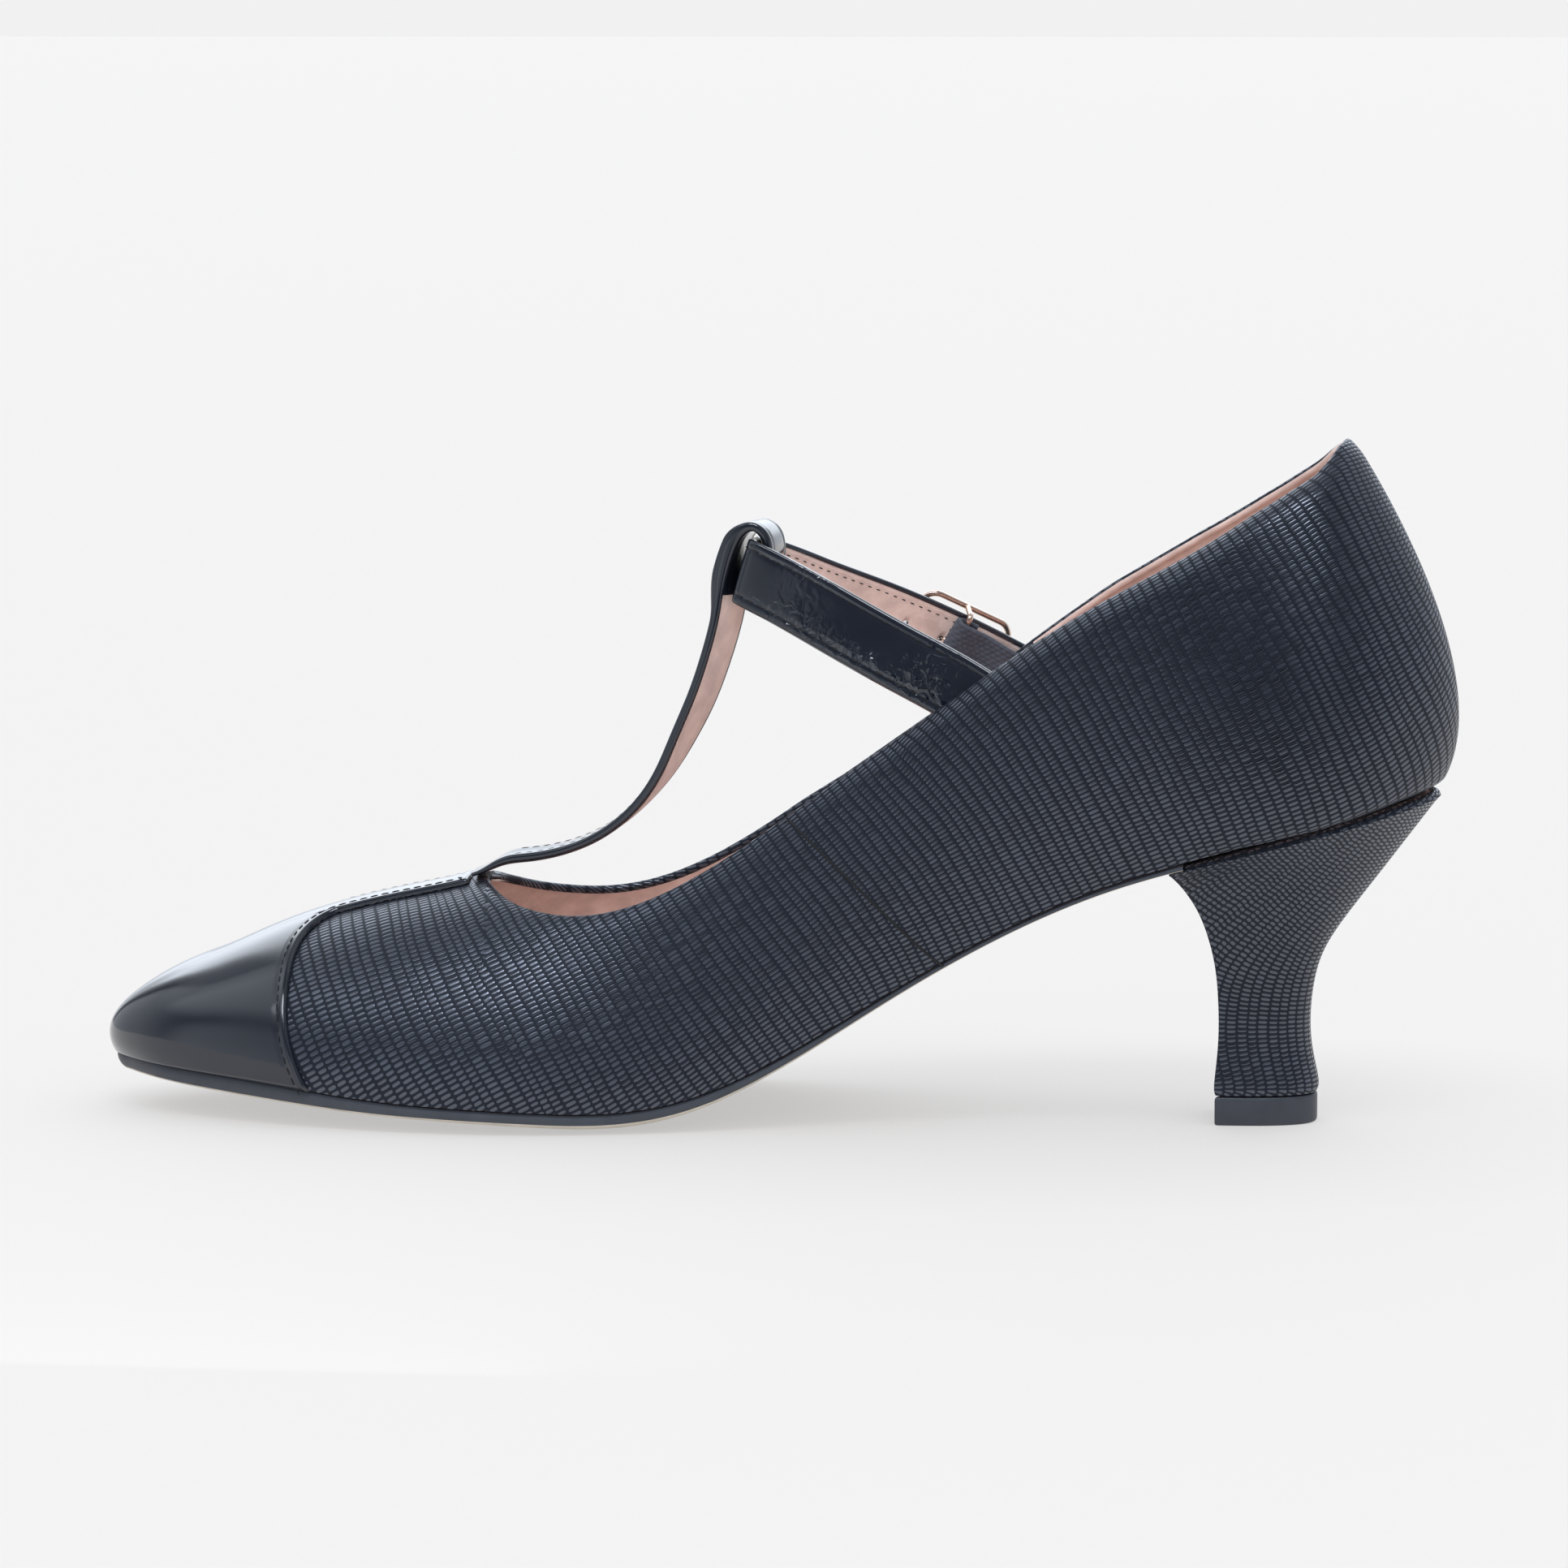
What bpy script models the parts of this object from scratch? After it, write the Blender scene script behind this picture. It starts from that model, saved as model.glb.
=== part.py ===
"""Right-foot mary jane pump with a T-strap, a patent toe cap and a covered spool heel.

The shoe stands on the floor plane z = 0 with its toe towards -X, its heel towards +X, its inner
(medial) side towards -Y and its outer (lateral) side, with the buckle, towards +Y. The origin lies
on the floor under the middle of the shoe. Sizes in this file are in millimetres, and to_metres()
turns them into Blender's metres when a mesh is made.
"""

import math
from collections import namedtuple

import bmesh
import bpy
import numpy as np
from mathutils import Vector

MM = 0.001

# Middle of the shoe's length and width in the measure of the tables below
DRAWING_MIDDLE = np.array([0.75, -0.1, 0.0])

# Driving dimensions
CLEARANCE = 0.3  # left between pieces that are sewn, glued or nailed together
WALL = 1.6  # upper: embossed leather with its lining
INSOLE_THICKNESS = 2.0
INSOLE_LIFT = 0.25  # of the insole's underside above the feather edge
INSOLE_INSET = 2.3  # from the feather edge, clear of the inner face of the wall
SOLE_INSET = 0.4
CAP_THICKNESS = 0.8
STRAP_WIDTH = 12.0
STRAP_THICKNESS = 1.5
T_STRAP_WIDTH = 11.6
T_STRAP_THICKNESS = 1.7
ELASTIC_WIDTH = 11.4
ELASTIC_THICKNESS = 1.0
TOP_LIFT_HEIGHT = 5.2
THROAT_X = -53.0  # where the topline crosses the middle of the vamp
BREAST_X = 73.6  # front of the heel, where the outsole ends

# One row for each station, from the toe tip round to the back of the heel. The wall of a station is
# a curve from its feather point, on the sole, to its crown point, on the ridge of the last. Behind
# the throat the crown is the ridge that the foot would have, and the topline cuts the wall below it.
#   inner_x .. outer_y  feather points on the inner and the outer side
#   feather_z           height of the feather edge
#   crown_x .. crown_z  crown point
#   bulge, rise         first handle of the curve, outwards and upwards from the feather point
#   reach, drop         second handle: share of the way out from the crown, and depth below it
Section = namedtuple(
    "Section",
    "inner_x inner_y outer_x outer_y feather_z crown_x crown_y crown_z bulge rise reach drop",
)
SECTIONS = {
    "tip": Section(-120.6, -5.0, -120.6, -5.0, 9.9, -105.0, -4.0, 26.2, 4.0, 6.0, 0.80, 5.6),
    "toe_corner": Section(-115.2, -15.2, -115.2, 5.2, 9.7, -103.5, -4.0, 26.9, 4.0, 6.5, 0.79, 4.5),
    "toe_side": Section(-105.6, -22.6, -105.6, 13.0, 9.0, -99.0, -3.8, 28.9, 3.5, 8.0, 0.75, 2.4),
    "cap_seam": Section(-88.0, -30.4, -88.0, 23.4, 7.7, -87.0, -3.2, 34.2, 3.0, 10.0, 0.66, 0.4),
    "vamp": Section(-66.0, -36.0, -66.0, 31.8, 5.6, -68.0, -2.4, 39.5, 2.5, 12.0, 0.62, 0.0),
    "ball": Section(-40.0, -36.6, -40.0, 36.6, 4.3, -46.0, -1.4, 46.0, 2.5, 13.0, 0.62, 0.0),
    "waist_front": Section(-10.0, -29.6, -10.0, 35.6, 6.9, -18.0, -0.5, 68.0, 3.0, 15.0, 0.70, 2.0),
    "waist": Section(25.0, -22.4, 25.0, 30.0, 26.0, 15.0, 0.0, 108.0, 5.0, 20.0, 0.95, 14.0),
    "seat_front": Section(62.0, -22.6, 62.0, 26.6, 44.8, 56.0, 0.0, 134.0, 6.0, 20.0, 1.06, 24.0),
    "heel_side": Section(96.0, -24.2, 96.0, 24.8, 54.3, 86.0, 0.0, 139.0, 6.5, 19.0, 0.94, 20.0),
    "heel_corner": Section(114.0, -15.4, 114.0, 16.0, 59.3, 93.0, 0.0, 139.0, 9.0, 19.0, 0.68, 18.0),
    "heel_back": Section(121.0, 0.0, 121.0, 0.0, 61.3, 95.0, 0.0, 138.0, 12.0, 18.7, 0.54, 18.0),
}
LAST_STATION = len(SECTIONS) - 1
LOOP = 2 * LAST_STATION  # stations once round the shoe, inner side first

# Side view of the topline: height at each place along the shoe
ToplinePoint = namedtuple("ToplinePoint", "x z")
TOPLINE = (
    ToplinePoint(THROAT_X, 43.5),
    ToplinePoint(-50.0, 42.1),
    ToplinePoint(-44.0, 40.2),
    ToplinePoint(-36.0, 39.0),
    ToplinePoint(-28.0, 39.6),
    ToplinePoint(-20.0, 42.0),
    ToplinePoint(-12.0, 45.9),
    ToplinePoint(2.0, 55.0),
    ToplinePoint(23.0, 70.4),
    ToplinePoint(45.0, 86.0),
    ToplinePoint(67.0, 99.2),
    ToplinePoint(88.0, 112.0),
    ToplinePoint(104.0, 124.0),
)

# Outsole: edge thickness and the belly of its underside along the shoe
SolePoint = namedtuple("SolePoint", "x thickness belly")
SOLE = (
    SolePoint(-124.0, 2.0, 0.2),
    SolePoint(-90.0, 2.2, 1.0),
    SolePoint(-48.0, 2.1, 2.3),
    SolePoint(-24.0, 2.1, 2.3),
    SolePoint(0.0, 1.9, 1.0),
    SolePoint(22.0, 1.3, 0.5),
    SolePoint(45.0, 1.0, 0.3),
    SolePoint(BREAST_X, 1.0, 0.2),
)

# Heel, from the foot up to the rim under the seat: front and back point of each level, its greatest
# half width, and how far its outline has gone from the foot's D shape (0) to the seat's shape (1)
HeelLevel = namedtuple("HeelLevel", "front_x front_z back_x back_z half_width seat_share")
HEEL = (
    HeelLevel(81.5, 5.5, 99.2, 5.5, 9.2, 0.0),
    HeelLevel(81.2, 7.4, 99.6, 7.4, 9.4, 0.0),
    HeelLevel(81.7, 13.0, 98.5, 13.0, 8.9, 0.0),
    HeelLevel(81.9, 19.5, 98.1, 20.0, 8.8, 0.0),
    HeelLevel(81.5, 27.0, 99.4, 28.4, 9.6, 0.1),
    HeelLevel(80.4, 33.4, 103.0, 35.6, 11.9, 0.35),
    HeelLevel(78.5, 39.4, 109.0, 43.7, 15.6, 0.65),
    HeelLevel(76.0, 44.0, 114.8, 51.4, 19.8, 0.88),
    HeelLevel(74.1, 46.6, 120.2, 58.6, 23.8, 1.0),
)
D_ROUNDNESS = 2.6  # superellipse power of the heel foot
BREAST_HOLLOW = 0.07  # depth of the breast's hollow, as a share of a level's length

# Cap seam: how far back the toe cap reaches at each height, and the strip that runs on to the throat
SeamPoint = namedtuple("SeamPoint", "z x")
CAP_SEAM = (
    SeamPoint(0.0, -76.0),
    SeamPoint(6.0, -79.6),
    SeamPoint(13.0, -83.0),
    SeamPoint(20.0, -84.8),
    SeamPoint(70.0, -85.2),
)
STRIP_END_X = -55.2
T_STRAP_ROOT = (-54.8, -53.6)  # where the root of the T-strap lies on the vamp
CAP_CORNER_WIDTH = 14.0  # across, from the strip's edge, of the curve that joins cap and strip
CAP_CORNER_LENGTH = 7.0

# Middle of the T-strap in side view, behind its root on the vamp, up and over the ankle strap
PathPoint = namedtuple("PathPoint", "x z")
T_STRAP = (
    PathPoint(-48.8, 46.0),
    PathPoint(-44.2, 46.7),
    PathPoint(-38.0, 48.0),
    PathPoint(-31.7, 50.6),
    PathPoint(-25.5, 55.2),
    PathPoint(-19.4, 62.9),
    PathPoint(-16.3, 68.8),
    PathPoint(-13.2, 75.4),
    PathPoint(-10.1, 84.1),
    PathPoint(-7.9, 93.0),
    PathPoint(-7.1, 99.2),
    PathPoint(-6.2, 103.4),
    PathPoint(-4.7, 106.3),
    PathPoint(-2.7, 107.4),
    PathPoint(-0.7, 106.4),
    PathPoint(0.35, 103.7),
    PathPoint(0.1, 99.6),
    PathPoint(-1.0, 95.6),
)
T_STRAP_TWIST = 7.0  # degrees that the top of the T-strap turns its back towards the inner side

# Middle line of the ankle strap, from inside the inner quarter, through the T-strap, to its tip.
# The upper edge lies behind the lower one by set_back, and further out by lean, over the width.
StrapPoint = namedtuple("StrapPoint", "x y z set_back lean width")
ANKLE_STRAP = (
    StrapPoint(43.6, -18.4, 74.2, 5.4, 2.2, STRAP_WIDTH),
    StrapPoint(35.5, -16.9, 79.2, 5.4, 2.2, STRAP_WIDTH),
    StrapPoint(25.6, -16.1, 84.4, 5.4, 2.2, STRAP_WIDTH),
    StrapPoint(15.8, -14.6, 89.5, 5.4, 2.0, STRAP_WIDTH),
    StrapPoint(6.0, -11.9, 94.6, 5.4, 1.0, STRAP_WIDTH),
    StrapPoint(0.4, -10.2, 97.3, 5.2, 0.4, STRAP_WIDTH),
    StrapPoint(-3.1, -9.2, 98.9, 4.4, 0.0, STRAP_WIDTH),
    StrapPoint(-4.2, -8.5, 99.4, 3.6, 0.0, STRAP_WIDTH),
    StrapPoint(-4.5, -7.4, 99.5, 3.2, 0.0, STRAP_WIDTH),
    StrapPoint(-4.1, -1.9, 99.5, 3.2, 0.0, STRAP_WIDTH),
    StrapPoint(-3.5, 3.6, 99.3, 3.2, 0.0, STRAP_WIDTH),
    StrapPoint(-2.7, 5.2, 98.9, 3.8, 0.0, STRAP_WIDTH),
    StrapPoint(0.6, 8.2, 97.5, 5.0, -0.4, STRAP_WIDTH),
    StrapPoint(7.0, 13.2, 94.5, 5.4, -1.0, STRAP_WIDTH),
    StrapPoint(17.0, 19.6, 90.2, 5.4, -2.0, STRAP_WIDTH),
    StrapPoint(27.0, 24.4, 85.5, 5.4, -2.4, STRAP_WIDTH),
    StrapPoint(36.0, 28.0, 80.8, 5.4, -2.4, STRAP_WIDTH),
    StrapPoint(46.0, 30.6, 75.2, 5.4, -2.4, STRAP_WIDTH),
    StrapPoint(53.0, 31.7, 71.0, 5.4, -2.0, STRAP_WIDTH * 0.85),
    StrapPoint(56.0, 32.1, 69.2, 5.4, -2.0, STRAP_WIDTH * 0.45),
)

# Buckle on the outer run of the ankle strap. Its parts are placed from the strap's middle there:
# along the strap, across it, and out from it.
BUCKLE_X = 30.0
WIRE_RADIUS = 0.85
BAR_RADIUS = 0.8
PRONG_RADIUS = 0.6
FRAME_HALF_LENGTH = 9.2
FRAME_SHIFT = 0.8  # of the frame along the strap, from its bar
FRAME_HALF_WIDTH = 7.7
FRAME_CORNER = 3.0
FRAME_OUT = STRAP_THICKNESS / 2 + CLEARANCE + WIRE_RADIUS
BAR_OUT = -(STRAP_THICKNESS / 2 + 2 * CLEARANCE + ELASTIC_THICKNESS + BAR_RADIUS)
ELASTIC_BEND = BAR_RADIUS + CLEARANCE + ELASTIC_THICKNESS / 2
PRONG_BEND = BAR_RADIUS + CLEARANCE + PRONG_RADIUS
PRONG_SLOT_WIDTH = 3.0

# Inner leg of the elastic, from the buckle bar down behind the outer quarter
LegPoint = namedtuple("LegPoint", "along out")
ELASTIC_LEG = (
    LegPoint(4.0, BAR_OUT - ELASTIC_BEND),
    LegPoint(9.0, -6.6),
    LegPoint(14.0, -7.4),
    LegPoint(22.0, -8.5),
)
# Prong, from its eye on the bar through the strap to the front of the frame
PRONG_LEG = (
    LegPoint(-2.6, 0.4),
    LegPoint(-5.0, 2.7),
    LegPoint(-8.4, 3.5),
    LegPoint(-10.0, 3.2),
)


def closed_spline(values):
    """A smooth closed curve through rows of values at whole numbers, as a function of the station."""
    values = np.asarray(values, float)
    count = len(values)
    following = np.roll(np.eye(count), 1, axis=1)
    system = 4 * np.eye(count) + following + following.T
    slopes = np.linalg.solve(system, 3 * (np.roll(values, -1, axis=0) - np.roll(values, 1, axis=0)))

    def at(station):
        first = math.floor(station)
        t = station - first
        a, b = first % count, (first + 1) % count
        return (
            (1 + 2 * t) * (1 - t) ** 2 * values[a]
            + t * (1 - t) ** 2 * slopes[a]
            + t**2 * (3 - 2 * t) * values[b]
            + t**2 * (t - 1) * slopes[b]
        )

    return at


def open_spline(knots, values):
    """A natural cubic curve through rows of values at rising knots, as a function of the knot."""
    knots = np.asarray(knots, float)
    values = np.asarray(values, float)
    steps = np.diff(knots)
    count = len(knots)
    system = np.zeros((count, count))
    rise = np.zeros_like(values)
    system[0, :2] = 2, 1
    system[-1, -2:] = 1, 2
    rise[0] = 3 * (values[1] - values[0]) / steps[0]
    rise[-1] = 3 * (values[-1] - values[-2]) / steps[-1]
    for k in range(1, count - 1):
        before, after = steps[k - 1], steps[k]
        system[k, k - 1 : k + 2] = after, 2 * (before + after), before
        rise[k] = 3 * (
            after * (values[k] - values[k - 1]) / before + before * (values[k + 1] - values[k]) / after
        )
    slopes = np.linalg.solve(system, rise)

    def at(measure):
        k = int(np.clip(np.searchsorted(knots, measure) - 1, 0, count - 2))
        step = steps[k]
        t = (measure - knots[k]) / step
        return (
            (1 + 2 * t) * (1 - t) ** 2 * values[k]
            + t * (1 - t) ** 2 * step * slopes[k]
            + t**2 * (3 - 2 * t) * values[k + 1]
            + t**2 * (t - 1) * step * slopes[k + 1]
        )

    return at


def spline_of(table, along):
    """An open spline of a table's rows against one of its columns."""
    return open_spline([getattr(row, along) for row in table], [list(row) for row in table])


def station_rows():
    """The section table as one closed loop: out to the heel on the inner side, back on the outer."""
    rows = list(SECTIONS.values())
    inner = [(r.inner_x, r.inner_y) + tuple(r[4:]) for r in rows]
    outer = [(r.outer_x, r.outer_y) + tuple(r[4:]) for r in rows[-2:0:-1]]
    return np.array(inner + outer)


station_at = closed_spline(station_rows())
topline_at = spline_of(TOPLINE, "x")
sole_at = spline_of(SOLE, "x")
seam_at = spline_of(CAP_SEAM, "z")


def feather(station):
    return station_at(station)[0:3]


def crown(station):
    return station_at(station)[3:6]


def wall(station, v):
    """A point of the upper's outer face: v runs from the feather edge (0) up to the crown (1)."""
    row = station_at(station)
    start, end = row[0:3], row[3:6]
    bulge, rise, reach, drop = row[6:10]
    outwards = np.array([start[0] - end[0], start[1] - end[1], 0.0])
    width = np.linalg.norm(outwards)
    outwards /= width
    handle_1 = start + bulge * outwards + np.array([0, 0, rise])
    handle_2 = end + reach * width * outwards - np.array([0, 0, drop])
    w = 1 - v
    return w**3 * start + 3 * w**2 * v * handle_1 + 3 * w * v**2 * handle_2 + v**3 * end


def wall_normal(station, v):
    """The outward unit normal of the upper's outer face."""
    step = 0.01
    v = min(max(v, step), 1 - step)
    along = wall(station + step, v) - wall(station - step, v)
    up = wall(station, v + step) - wall(station, v - step)
    normal = np.cross(along, up)
    return normal / np.linalg.norm(normal)


def bisect(function, low, high):
    """Where a function that starts below zero first rises through it."""
    for _ in range(50):
        middle = (low + high) / 2
        if function(middle) < 0:
            low = middle
        else:
            high = middle
    return (low + high) / 2


THROAT_STATION = bisect(lambda u: crown(u)[0] - THROAT_X, 0, LAST_STATION)
BREAST_STATION = bisect(lambda u: feather(u)[0] - BREAST_X, 0, LAST_STATION)
SOLE_END_STATION = bisect(lambda u: feather(u)[0] - BREAST_X + CLEARANCE, 0, LAST_STATION)


def topline_v(station):
    """How far up the wall reaches: to the crown ahead of the throat, and to the topline behind it."""
    from_tip = min(station, LOOP - station)
    if from_tip <= THROAT_STATION:
        return 1.0

    def above(v):
        point = wall(station, v)
        return point[2] - topline_at(point[0])[1]

    return bisect(above, 0.0, 1.0)


def to_metres(points):
    return [Vector(np.asarray(point) - DRAWING_MIDDLE) * MM for point in points]


def material(name, colour, roughness, metallic=0.0):
    made = bpy.data.materials.new(name)
    made.use_nodes = True
    shader = made.node_tree.nodes["Principled BSDF"]
    shader.inputs["Base Color"].default_value = (*colour, 1.0)
    shader.inputs["Roughness"].default_value = roughness
    shader.inputs["Metallic"].default_value = metallic
    made.diffuse_color = (*colour, 1.0)
    return made


def weld_mesh(mesh, distance):
    """Makes coinciding points one."""
    shape = bmesh.new()
    shape.from_mesh(mesh)
    bmesh.ops.remove_doubles(shape, verts=shape.verts, dist=distance)
    shape.to_mesh(mesh)
    shape.free()


def finished_object(name, mesh, finish, collection):
    """An object of a mesh, smooth but for its edges, in its finish if it has one."""
    mesh.shade_smooth()
    mesh.set_sharp_from_angle(angle=math.radians(40))
    if finish:
        mesh.materials.append(finish)
    made = bpy.data.objects.new(name, mesh)
    collection.objects.link(made)
    return made


def mesh_object(name, points, faces, finish, collection, weld=1e-6):
    """A named object from points in millimetres, with coinciding points made one."""
    mesh = bpy.data.meshes.new(name)
    mesh.from_pydata(to_metres(points), [], faces)
    weld_mesh(mesh, weld)
    return finished_object(name, mesh, finish, collection)


def grid_faces(rows, columns, closed=False):
    """Quads of a grid of points, row after row. A closed grid joins its last row to its first."""
    faces = []
    for i in range(rows if closed else rows - 1):
        here, there = i * columns, (i + 1) % rows * columns
        for j in range(columns - 1):
            faces.append((here + j, there + j, there + j + 1, here + j + 1))
    return faces


def solidify(target, thickness, offset):
    """Gives an open surface a wall: offset -1 grows it behind the faces, 1 in front, 0 on both sides."""
    wall_maker = target.modifiers.new("wall", "SOLIDIFY")
    wall_maker.thickness = thickness * MM
    wall_maker.offset = offset
    wall_maker.use_even_offset = True
    return target


def as_cutter(shape):
    """Marks a solid that only cuts or joins another one."""
    shape.hide_render = True
    shape.display_type = "WIRE"
    return shape


def combine(target, cutter, operation):
    """Cuts, joins or trims a solid with a cutter."""
    cut = target.modifiers.new(cutter.name, "BOOLEAN")
    cut.operation = operation
    cut.solver = "EXACT"
    cut.object = cutter
    return target


def loft(name, levels, finish, collection):
    """A closed solid through level outlines of one point count, from the lowest to the highest."""
    count = len(levels[0])
    points = [point for level in levels for point in level]
    faces = []
    for i in range(len(levels) - 1):
        for j in range(count):
            k = (j + 1) % count
            faces.append((i * count + j, i * count + k, (i + 1) * count + k, (i + 1) * count + j))
    faces.append(tuple(range(count))[::-1])
    faces.append(tuple((len(levels) - 1) * count + j for j in range(count)))
    return mesh_object(name, points, faces, finish, collection)


def plate(name, top_rows, bottom_rows, finish, collection):
    """A closed solid between an upper and a lower grid of points that share one outline."""
    rows, columns = len(top_rows), len(top_rows[0])
    size = rows * columns
    points = [p for row in top_rows for p in row] + [p for row in bottom_rows for p in row]
    top = grid_faces(rows, columns)
    faces = top + [tuple(size + k for k in reversed(face)) for face in top]
    rim = list(range(columns))
    rim += [i * columns + columns - 1 for i in range(1, rows)]
    rim += [(rows - 1) * columns + j for j in range(columns - 2, -1, -1)]
    rim += [i * columns for i in range(rows - 2, 0, -1)]
    for a, b in zip(rim, rim[1:] + rim[:1]):
        faces.append((a, b, size + b, size + a))
    made = mesh_object(name, points, faces, finish, collection)
    shape = bmesh.new()
    shape.from_mesh(made.data)
    bmesh.ops.recalc_face_normals(shape, faces=shape.faces)
    shape.to_mesh(made.data)
    shape.free()
    return made


def spaced_stations(to_throat, behind_throat):
    """Stations of the inner side from tip to heel back, closest together just behind the throat."""
    ahead = np.linspace(0, THROAT_STATION, to_throat)
    share = np.linspace(0, 1, behind_throat)[1:] ** 1.5
    return np.concatenate([ahead, THROAT_STATION + (LAST_STATION - THROAT_STATION) * share])


def wall_grid(stations, heights, out=0.0):
    """Points of the outer face, pushed outwards, station by station from feather edge to topline."""
    points = []
    for station in stations:
        top = topline_v(station)
        for height in heights:
            v = height * top
            points.append(wall(station, v) + out * wall_normal(station, v))
    return points


def make_upper(finish, collection):
    """The hollow upper, open at the topline and underneath."""
    inner = spaced_stations(20, 24)
    stations = list(inner) + [LOOP - u for u in inner[-2:0:-1]]
    heights = np.linspace(0, 1, 12)
    points = wall_grid(stations, heights)
    faces = grid_faces(len(stations), len(heights), closed=True)
    return solidify(mesh_object("upper", points, faces, finish, collection), WALL, -1)


def cap_cutter(collection):
    """A tall block over the toe cap and the vamp strip, whose back face leans as the cap seam does."""
    half_strip = T_STRAP_WIDTH / 2
    far_side, far_ahead = 60.0, -140.0
    levels = []
    for z in (-5.0, 6.0, 13.0, 20.0, 70.0):
        seam_x = seam_at(max(z, 0.0))[1]
        quarter = []
        for k in range(9):
            angle = math.radians(90 * k / 8)
            quarter.append(
                (
                    seam_x + CAP_CORNER_LENGTH * (1 - math.cos(angle)),
                    half_strip + CAP_CORNER_WIDTH * (1 - math.sin(angle)),
                )
            )
        side = [(far_ahead, far_side), (seam_x, far_side)] + quarter + [(STRIP_END_X, half_strip)]
        outline = side + [(x, -y) for x, y in reversed(side)]
        levels.append([(x, y + strip_middle(x), z) for x, y in reversed(outline)])
    return as_cutter(loft("cap_cutter", levels, None, collection))


def crown_at(x):
    """The point of the crown line at that x, or its front end."""
    return crown(bisect(lambda u: crown(u)[0] - max(x, crown(0)[0]), 0, LAST_STATION))


def strip_middle(x):
    """Where the middle of the vamp strip runs: along the crown of the last."""
    return crown_at(x)[1]


def make_toe_cap(finish, collection, cutters):
    """Patent toe cap and vamp strip: a skin over the upper's own face, cut along the cap seam."""
    band_end = THROAT_STATION
    stations = np.linspace(-band_end, band_end, 41)
    heights = np.linspace(0.01, 1, 14)
    points = [wall(u, v) + CLEARANCE * wall_normal(u, v) for u in stations for v in heights]
    faces = grid_faces(len(stations), len(heights))
    skin = mesh_object("toe_cap", points, faces, finish, collection, weld=5e-5)
    return combine(solidify(skin, CAP_THICKNESS, 1), cap_cutter(cutters), "INTERSECT")


def edge(station, inset):
    """A point of the feather edge, drawn in level towards the middle of the shoe."""
    step = 0.01
    along = feather(station + step) - feather(station - step)
    inwards = np.array([-along[1], along[0], 0.0])
    return feather(station) + inset * inwards / np.linalg.norm(inwards)


def across(station, inset, columns):
    """Points from the inner to the outer edge of a station."""
    inner, outer = edge(station, inset), edge(LOOP - station, inset)
    return [inner + share * (outer - inner) for share in np.linspace(0, 1, columns)]


def make_outsole(finish, collection):
    """Outsole from the toe to the heel breast, with a flat tread under the ball."""
    stations = np.concatenate([np.linspace(0.12, 1, 6)[:-1], np.linspace(1, SOLE_END_STATION, 26)])
    columns = 9
    top_rows, bottom_rows = [], []
    for station in stations:
        row = across(station, SOLE_INSET, columns)
        top_rows.append([p - np.array([0, 0, CLEARANCE]) for p in row])
        bottom = []
        for share, p in zip(np.linspace(-1, 1, columns), row):
            _, thickness, belly = sole_at(p[0])
            z = p[2] - CLEARANCE - thickness - belly * (1 - share**4)
            bottom.append(np.array([p[0], p[1], max(z, 0.0)]))
        bottom_rows.append(bottom)
    return plate("outsole", top_rows, bottom_rows, finish, collection)


def make_insole(finish, collection):
    """Insole along the whole foot, resting on the outsole and on the heel seat."""
    toe = np.linspace(0.15, 1, 6)[:-1]
    foot = np.linspace(1, LAST_STATION - 1, 26)
    heel = np.linspace(LAST_STATION - 1, LAST_STATION - 0.12, 6)[1:]
    stations = np.concatenate([toe, foot, heel])
    rows = [across(station, INSOLE_INSET, 7) for station in stations]
    bottom = np.array([0, 0, INSOLE_LIFT])
    top = np.array([0, 0, INSOLE_LIFT + INSOLE_THICKNESS])
    bottom_rows = [[p + bottom for p in row] for row in rows]
    top_rows = [[p + top for p in row] for row in rows]
    return plate("insole", top_rows, bottom_rows, finish, collection)


def d_outline(count):
    """The heel foot's outline from its inner front corner round: 0 to 1 backwards, -1 to 1 across."""
    outline = []
    for angle in np.linspace(-math.pi / 2, math.pi / 2, count):
        along = abs(math.cos(angle)) ** (2 / D_ROUNDNESS)
        over = math.copysign(abs(math.sin(angle)) ** (2 / D_ROUNDNESS), math.sin(angle))
        outline.append((along, over))
    return np.array(outline)


def seat_outline(count):
    """The seat's outline in the same measure, with its length and greatest half width."""
    stations = np.linspace(BREAST_STATION, LOOP - BREAST_STATION, count)
    points = np.array([feather(u) for u in stations])
    half = np.abs(points[:, 1]).max()
    back = points[:, 0].max()
    return np.column_stack([(points[:, 0] - BREAST_X) / (back - BREAST_X), points[:, 1] / half])


def heel_ring(level, count):
    """One level of the heel: its outline round the back, then the hollow breast."""
    outline = (1 - level.seat_share) * d_outline(count) + level.seat_share * seat_outline(count)
    first, last = outline[0], outline[-1]
    breast = []
    for share in (0.25, 0.5, 0.75):
        hollow = BREAST_HOLLOW * math.sin(math.pi * share)
        breast.append((1 - share) * last + share * first + np.array([hollow, 0]))
    ring = []
    for along, over in list(outline) + breast:
        ring.append(
            (
                level.front_x + along * (level.back_x - level.front_x),
                over * level.half_width,
                level.front_z + along * (level.back_z - level.front_z),
            )
        )
    return ring


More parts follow.
